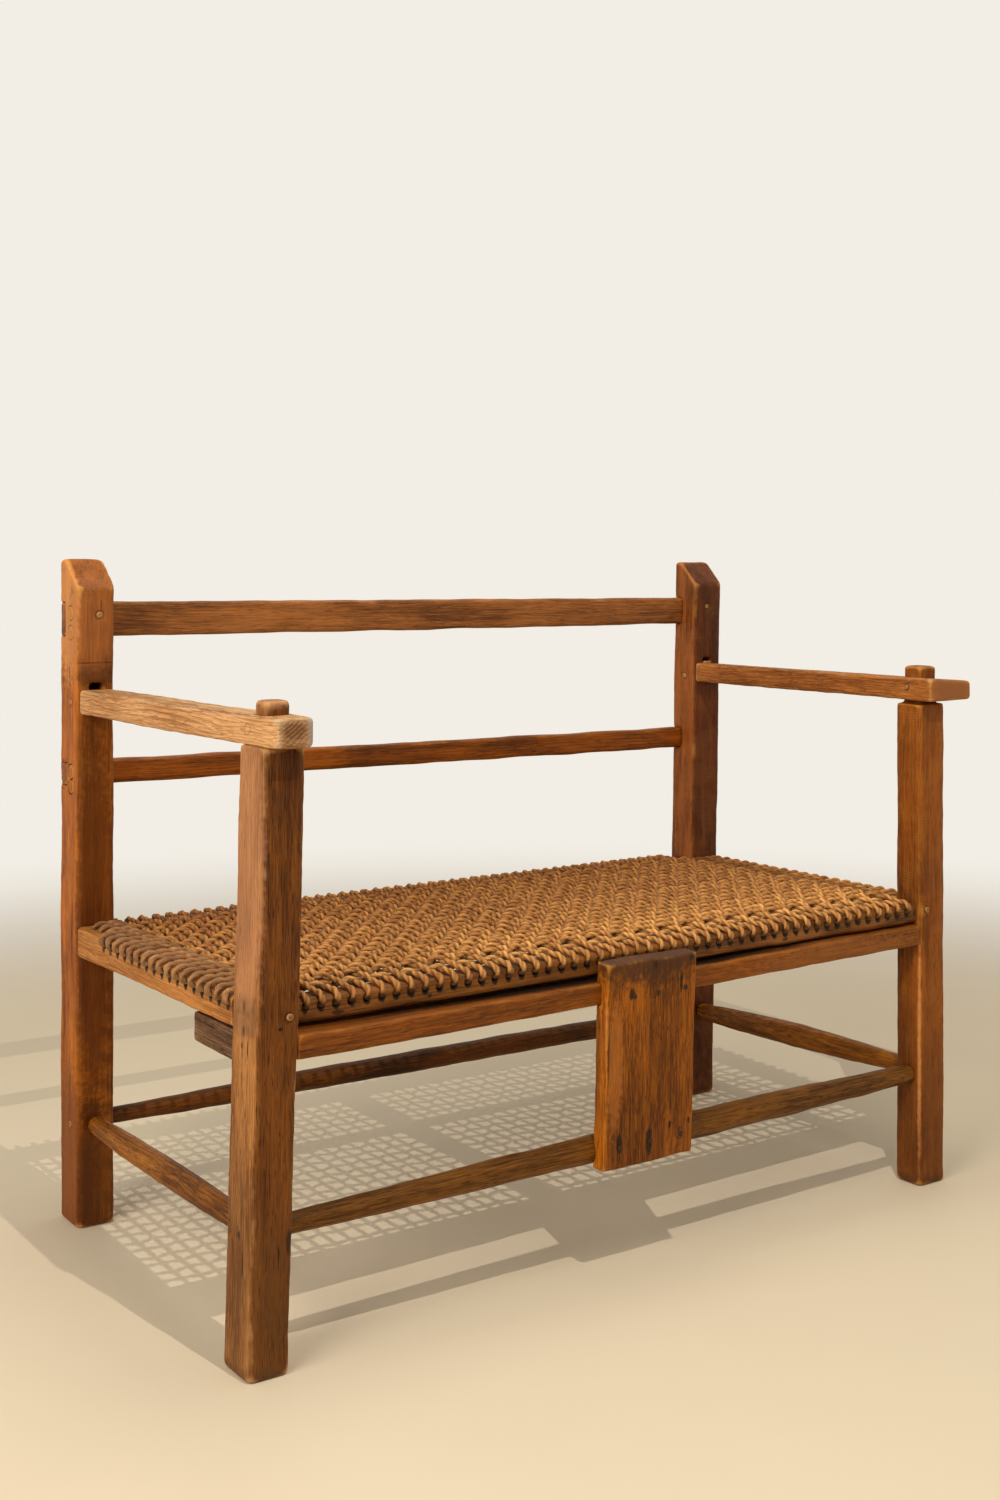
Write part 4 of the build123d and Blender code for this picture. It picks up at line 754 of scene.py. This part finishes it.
# These low shares near a hole darken the cord there: painted shade
BEND_LOW, BEND_HIGH = 0.45, 0.95

dice = np.random.default_rng(7)


def seat_plane(y):
    return SEAT_CROWN - (y - SEAT_FRONT) * (SEAT_FALL / (SEAT_REAR - SEAT_FRONT))


def quarter(centre, radius, start, end):
    """Points of a quarter turn in the plane of the cord, both ends included."""
    angles = np.radians(np.linspace(start, end, TURN_STEPS))
    return [(centre[0] + radius * math.cos(a), centre[1] + radius * math.sin(a)) for a in angles]


def over_edge(face, crown, hole, inner, out):
    """From a hole in a rail's outer face up and round its edge. out is -1 at the front and the left rail,
    1 at the rear and the right one."""
    line = face + CORD_LIFT * out
    side = 0 if out > 0 else 180
    points = [(inner, hole), (line - (HOLE_TURN + HOLE_LEAD) * out, hole)]
    points += quarter((line - HOLE_TURN * out, hole + HOLE_TURN), HOLE_TURN, -90, -side)
    points += quarter((line - EDGE_TURN * out, crown - EDGE_TURN), EDGE_TURN, side, 90)
    return points


def run_lengths(points):
    """How long the line is from its start to each of its points."""
    return np.concatenate([[0], np.cumsum(np.linalg.norm(np.diff(points, axis=0), axis=1))])


def cord_line(points):
    """The same line in even steps, with its corners eased."""
    points = np.array(points, float)
    lengths = run_lengths(points)
    marks = np.linspace(0, lengths[-1], int(round(lengths[-1] / CORD_STEP)) + 1)
    line = np.stack([np.interp(marks, lengths, places) for places in points.T], 1)
    line[1:-1] = (line[:-2] + line[1:-1] * 2 + line[2:]) / 4
    return line


def woven(start, end, crossings, reach, first_lift, plane):
    """The run of a cord between its two rails, as (place, height) points: over one crossing cord and under
    the next. first_lift is its lift at the first crossing, below 0 where it goes under."""
    places = np.arange(start, end, WEAVE_STEP)
    edge = JOIN_GAP / 2
    knots = np.array([start - edge, crossings[0] - reach, *crossings, crossings[-1] + reach, end + edge])
    lifts = np.array([0, 0] + [first_lift * (-1) ** index for index in range(len(crossings))] + [0, 0])
    index = np.clip(np.searchsorted(knots, places) - 1, 0, len(knots) - 2)
    low, high = knots[index], knots[index + 1]
    share = (1 - np.cos(np.pi * np.clip((places - low) / (high - low), 0, 1))) / 2
    lift = lifts[index] * (1 - share) + lifts[index + 1] * share
    return list(zip(places, plane(places) + lift))


def sway(count, height):
    """A slow sideways wandering that fades out at both ends."""
    marks = np.linspace(0, 1, count)
    total = np.zeros(count)
    for waves in range(2, 9):
        push, start = dice.normal(), dice.uniform(0, math.tau)
        total += push * np.sin(marks * waves * math.pi + start) / math.sqrt(waves)
    return total * height * np.clip(np.minimum(marks, 1 - marks) / SWAY_FADE, 0, 1)


def rope(line, across, high):
    """A two-ply twisted cord along a line: points, faces, lay, groove and high. across is the fixed direction
    square to its bends, and high is 1 where the cord lies on top of the weave and 0 where it dives under."""
    steps = np.gradient(line, axis=0)
    steps /= np.linalg.norm(steps, axis=1)[:, None]
    across = np.array(across, float)
    first = across - steps * (steps @ across)[:, None]
    first /= np.linalg.norm(first, axis=1)[:, None]
    second = np.cross(steps, first)
    run = run_lengths(line)
    turn = run / (PLY_LAY * dice.uniform(*LAY_RANGE)) * math.tau + dice.uniform(0, math.tau)
    angles = np.arange(ROPE_SIDES) * math.tau / ROPE_SIDES
    profile = PLY_OFFSET * np.abs(np.cos(angles))
    profile += np.sqrt(PLY_RADIUS ** 2 - (PLY_OFFSET * np.sin(angles)) ** 2)
    thickness = 1 + sway(len(line), THICKNESS_SWAY)
    around = angles + turn[:, None]
    radius = profile * thickness[:, None] * dice.uniform(*GIRTH_RANGE)
    points = line[:, None] + first[:, None] * (np.cos(around) * radius)[:, :, None]
    points += second[:, None] * (np.sin(around) * radius)[:, :, None]
    along = np.broadcast_to(run[:, None], radius.shape) + dice.uniform(0, LAY_STARTS)
    lay = np.stack([np.cos(angles) * radius, np.sin(angles) * radius, along], -1)
    depth = PLY_RADIUS + PLY_OFFSET - profile
    groove = np.clip(depth / depth.max(), 0, 1)

    sides = np.arange(ROPE_SIDES)
    rings = np.arange(len(line) - 1)[:, None] * ROPE_SIDES
    corner = (rings + sides).ravel()
    beside = (rings + (sides + 1) % ROPE_SIDES).ravel()
    faces = np.stack([corner, beside, beside + ROPE_SIDES, corner + ROPE_SIDES], 1).tolist()
    faces += [sides[::-1].tolist(), (sides + rings[-1] + ROPE_SIDES).tolist()]
    groove, high = np.tile(groove, len(line)), np.repeat(high, ROPE_SIDES)
    return points.reshape(-1, 3), faces, lay.reshape(-1, 3), groove, high


def cord_piece(name, ropes, replaced):
    """One piece of many ropes. Each rope gets a tone of its own."""
    faces, tones, start = [], [], 0
    for points, rope_faces, *_ in ropes:
        faces += [[index + start for index in face] for face in rope_faces]
        tones.append(np.full(len(points), dice.uniform(0, 1)))
        start += len(points)
    points, lay, groove, high = [np.concatenate([cord[part] for cord in ropes]) for part in (0, 2, 3, 4)]
    mesh = bpy.data.meshes.new(name)
    mesh.from_pydata(((points + PART_SHIFT) * MILLIMETRE).tolist(), [], faces)
    for label, kind, key, values in (
        ("lay", "FLOAT_VECTOR", "vector", lay.ravel() * MILLIMETRE),
        ("groove", "FLOAT", "value", groove),
        ("high", "FLOAT", "value", high),
        ("tone", "FLOAT", "value", np.concatenate(tones)),
    ):
        mesh.attributes.new(label, kind, "POINT").data.foreach_set(key, values.astype(np.float32))
    mesh.materials.append(cord_finish)
    mesh.shade_smooth()
    piece = add_object(name, mesh)
    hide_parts(*replaced)
    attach(piece, "root")


# Shades over the cords' colour: the first, then each that comes in between two places, in metres
FRONT_SHADE = (1.5, 1.62, 1.75, 1.0)
SEAT_SHADES = [
    (-0.232, -0.26, (1.1, 1.14, 1.22, 1.0)),
    (-0.19, -0.02, (1.0, 0.98, 0.98, 1.0)),
    (-0.02, 0.2, (0.8, 0.73, 0.62, 1.0)),
]


def cord_material():
    """Twisted plant fibre: strands that follow the lay, painted shade in the grooves between the plies,
    darker where a cord dives under or nears its hole (painted shade with some grime), greyed at the left
    rail."""
    material, recipe, shader, here = start_material("seat cord")
    lay = recipe.attribute("lay", "Vector")
    groove = recipe.attribute("groove")
    strands = recipe.drawn_out(lay, 0.06, 1300.0, 3.0, 0.6)
    share = recipe.swing(strands, 1.6, 0.35)
    share = recipe.swing(recipe.drawn_out(lay, 0.5, 60.0, 3.0, 0.6), 1.3, share)
    share = recipe.swing(recipe.attribute("tone"), 0.45, share)
    share = recipe.sum("ADD", share, 0.0, clamp=True)
    colour = recipe.blend(share, paint(210, 147, 77), paint(125, 67, 21))
    # Painted shade in the grooves between the plies
    colour = recipe.blend(recipe.ramp(groove, 0.4, 1.0, 0.0, 0.45), colour, paint(78, 40, 12))
    # Darker where a cord dives under or nears its hole: painted shade with some grime
    low = recipe.ramp(recipe.attribute("high"), 0.9, 0.1, 0.0, 0.88)
    colour = recipe.blend(low, colour, paint(50, 25, 7))
    apart = recipe.place("ShaderNodeSeparateXYZ", {}, {0: here}).outputs
    shade = FRONT_SHADE
    for start, end, next_shade in SEAT_SHADES:
        shade = recipe.blend(recipe.ramp(apart["Y"], start, end), shade, next_shade)
    colour = recipe.blend(1.0, colour, shade, "MULTIPLY")
    greyed = recipe.ramp(apart["X"], -0.50, -0.575, 0.0, 0.7)
    colour = recipe.blend(greyed, colour, recipe.blend(share, paint(188, 143, 101), paint(112, 77, 50)))
    recipe.feed(shader.inputs["Base Color"], colour)
    recipe.feed(shader.inputs["Roughness"], recipe.ramp(strands, 0.3, 0.7, 0.62, 0.85))
    recipe.relief(shader, recipe.sum("MULTIPLY_ADD", groove, -0.6, strands), 0.8, 0.0006)
    shader.inputs["Specular IOR Level"].default_value = 0.3
    return material


cord_finish = cord_material()


def share_high(height, plane, outside, hole):
    """How high a cord lies in the weave, from 0 to 1. outside marks its bends over the rails."""
    high = np.clip(0.5 + (height - plane) / (2 * OVER_UNDER), 0, 1)
    return np.where(outside, np.clip((height - hole) / BEND_REACH, BEND_LOW, BEND_HIGH), high)


def long_cord(index):
    front_hole, rear_hole = FRONT_TOP - HOLE_DROP, REAR_TOP - HOLE_DROP
    front = over_edge(FRONT_FACE, seat_plane(SEAT_FRONT), front_hole, FRONT_INNER, -1)
    rear = over_edge(REAR_FACE, seat_plane(SEAT_REAR), rear_hole, REAR_INNER, 1)
    crossings = [SIDE_CORDS[0] - FIRST_CORD_SHIFT] + SIDE_CORDS[1:]
    lift = OVER_UNDER if index % 2 else -OVER_UNDER
    run = woven(front[-1][0] + JOIN_GAP, rear[-1][0] - JOIN_GAP, crossings, SIDE_PITCH, lift, seat_plane)
    line = cord_line(front + run + rear[::-1])
    side = LONG_CORDS[index] + sway(len(line), LONG_SWAY)
    y, z = line.T
    outside = (y < FRONT_BEND) & (z > front_hole + BEND_RISE)
    outside |= (y > REAR_BEND) & (z > rear_hole + BEND_RISE)
    high = share_high(z, seat_plane(y), outside, np.where(y < 0, front_hole, rear_hole))
    return rope(np.stack([side, y, z], 1), (1, 0, 0), high)


def falling(share):
    """From 1 to 0 along a soft curve, while the share goes from 0 to 1."""
    return 0.5 + 0.5 * np.cos(np.pi * np.clip(share, 0.0, 1.0))


def side_cord(index):
    y = SIDE_CORDS[index]
    share = min(max((y - SIDE_FRONT) / SIDE_LENGTH, 0.0), 1.0)
    rails = (LEFT_FACE, LEFT_TOP, RIGHT_FACE, RIGHT_TOP)
    left_face, left_top, right_face, right_top = [front + gain * share for front, gain in rails]
    left_hole, right_hole = left_top - HOLE_DROP, right_top - HOLE_DROP
    plane = seat_plane(y) - (0.0 if index else FIRST_CORD_DROP)

    def height(x):
        """The height of the weave's middle, which meets the rails' tops at both ends."""
        left = (left_top + CORD_LIFT - plane) * falling((x - left_face - LEFT_LEVEL) / LEFT_SLOPE)
        right = (right_top + CORD_LIFT - plane) * falling((right_face - RIGHT_LEVEL - x) / RIGHT_SLOPE)
        return plane + left + right

    if index < len(SIDE_CORDS) - CORNER_CORDS:
        left = over_edge(left_face, left_top + CORD_LIFT, left_hole, left_face + SIDE_INNER, -1)
    else:
        down = left_face + CORNER_INSET
        left = [(down, left_top - CORNER_BOTTOM), (down, left_top - CORNER_TOP)]
        left += quarter((down + HOLE_TURN, left_top + CORD_LIFT - HOLE_TURN), HOLE_TURN, 180, 90)
    right = over_edge(right_face, right_top + CORD_LIFT, right_hole, right_face - SIDE_INNER, 1)
    lift = (-1 if index % 2 else 1) * OVER_UNDER * (1.0 if index else FIRST_CORD_SWING)
    run = woven(left[-1][0] + JOIN_GAP, right[-1][0] - JOIN_GAP, LONG_CORDS, LONG_PITCH, lift, height)
    line = cord_line(left + run + right[::-1])
    side = y + sway(len(line), SIDE_SWAY)
    x, z = line.T
    if index == 0:
        shift = FIRST_CORD_SHIFT * np.clip((x - SHIFT_LEFT) / SHIFT_LEFT_LENGTH, 0, 1)
        side = side - shift * np.clip((SHIFT_RIGHT - x) / SHIFT_RIGHT_LENGTH, 0, 1)
    outside = (x < left_face + LEFT_BEND) & (z > left_hole + BEND_RISE)
    outside |= (x > right_face - RIGHT_BEND) & (z > right_hole + BEND_RISE)
    high = share_high(z, height(x), outside, np.where(x < 0, left_hole, right_hole))
    return rope(np.stack([x, side, z], 1), (0, 1, 0), high)


long_ropes = [long_cord(index) for index in range(len(LONG_CORDS))]
cord_piece("long_cords", long_ropes, ["woven_seat", "front_cord_ends", "rear_cord_ends"])
side_ropes = [side_cord(index) for index in range(len(SIDE_CORDS))]
cord_piece("side_cords", side_ropes, ["left_cord_ends", "right_cord_ends"])

# Floor, light and camera

PALE = (0.896, 0.855, 0.783, 1.0)
FLOOR = (0.79, 0.668, 0.472, 1.0)
WARM_LIGHT = (1.0, 0.95, 0.88)
WORLD_STRENGTH = 0.34
FLOOR_HALF = 14.0
FADE_START, FADE_END = 1.3, 3.4
LAMP_TARGET = (0.0, 0.0, 0.45)

# The camera, fitted to points read off the photograph: its height and how far its middle is off, in pixels
PHOTO_HEIGHT, PHOTO_SHIFT = 1500, -178
CAMERA_PLACE, CAMERA_TURN = (-1.4575, -2.0468, 0.900), -34.42
SENSOR_WIDTH, LENS_LENGTH = 36.0, 42.14


def background_share(recipe):
    """1 where the camera, or a glossy or clear surface, looks straight at the backdrop."""
    rays = recipe.place("ShaderNodeLightPath").outputs
    seen = recipe.sum("MAXIMUM", rays["Is Camera Ray"], rays["Is Glossy Ray"])
    return recipe.sum("MAXIMUM", seen, rays["Is Transmission Ray"])


def make_world():
    """Soft warm light from all sides. The camera sees a pale backdrop in its place."""
    world = bpy.data.worlds.new("studio")
    bpy.context.scene.world = world
    world.use_nodes = True
    recipe = Recipe(world.node_tree)
    world.node_tree.nodes.clear()
    feeds = {"Color": (*WARM_LIGHT, 1.0), "Strength": WORLD_STRENGTH}
    lamp = recipe.place("ShaderNodeBackground", {}, feeds)
    seen = recipe.place("ShaderNodeBackground", {}, {"Color": PALE, "Strength": 1.0})
    feeds = {0: background_share(recipe), 1: lamp.outputs[0], 2: seen.outputs[0]}
    mix = recipe.place("ShaderNodeMixShader", {}, feeds)
    recipe.place("ShaderNodeOutputWorld", {}, {"Surface": mix.outputs[0]})


def make_floor():
    """A wide pale floor that fades into the backdrop far from the settle."""
    mesh = bpy.data.meshes.new("floor")
    corners = [(-1, -1), (1, -1), (1, 1), (-1, 1)]
    mesh.from_pydata([(x * FLOOR_HALF, y * FLOOR_HALF, 0) for x, y in corners], [], [(0, 1, 2, 3)])
    floor = add_object("floor", mesh)
    material, recipe, shader, here = start_material("pale floor")
    cloud = recipe.noise(here, 3.0, 4.0, 0.6)
    darker = tuple(part * 0.94 for part in FLOOR)
    recipe.feed(shader.inputs["Base Color"], recipe.blend(cloud, FLOOR, darker))
    shader.inputs["Roughness"].default_value = 0.7
    far = recipe.ramp(recipe.vector("LENGTH", here), FADE_START, FADE_END)
    share = recipe.times(far, background_share(recipe))
    glow = recipe.place("ShaderNodeEmission", {}, {"Color": PALE, "Strength": 1.0})
    mix = recipe.place("ShaderNodeMixShader", {}, {0: share, 1: shader.outputs[0], 2: glow.outputs[0]})
    recipe.feed(recipe.tree.nodes["Material Output"].inputs["Surface"], mix.outputs[0])
    mesh.materials.append(material)


def add_lamp(name, kind, place, power, size):
    """A warm lamp that looks at the settle's middle."""
    lamp = bpy.data.lights.new(name, kind)
    lamp.energy = power
    lamp.color = WARM_LIGHT
    setattr(lamp, "size" if kind == "AREA" else "shadow_soft_size", size)
    thing = add_object(name, lamp)
    thing.location = place
    x, y, z = np.array(LAMP_TARGET) - np.array(thing.location)
    thing.rotation_euler = (math.pi / 2 + math.atan2(z, math.hypot(x, y)), 0, math.atan2(-x, y))


make_world()
make_floor()
add_lamp("left window", "AREA", (-3.0, -1.2, 2.0), 66.0, 1.8)
add_lamp("ceiling lamp", "POINT", (-0.41, -1.43, 2.45), 96.0, 0.006)
add_lamp("ceiling glow", "AREA", (0.1, 0.1, 2.9), 16.0, 1.2)

camera_data = bpy.data.cameras.new("camera")
camera_data.sensor_width = SENSOR_WIDTH
camera_data.lens = LENS_LENGTH
camera_data.shift_y = PHOTO_SHIFT / PHOTO_HEIGHT
camera = add_object("camera", camera_data)
camera.location = CAMERA_PLACE
camera.rotation_euler = (math.pi / 2, 0.0, math.radians(CAMERA_TURN))
bpy.context.scene.camera = camera
bpy.context.scene.view_settings.view_transform = "Standard"
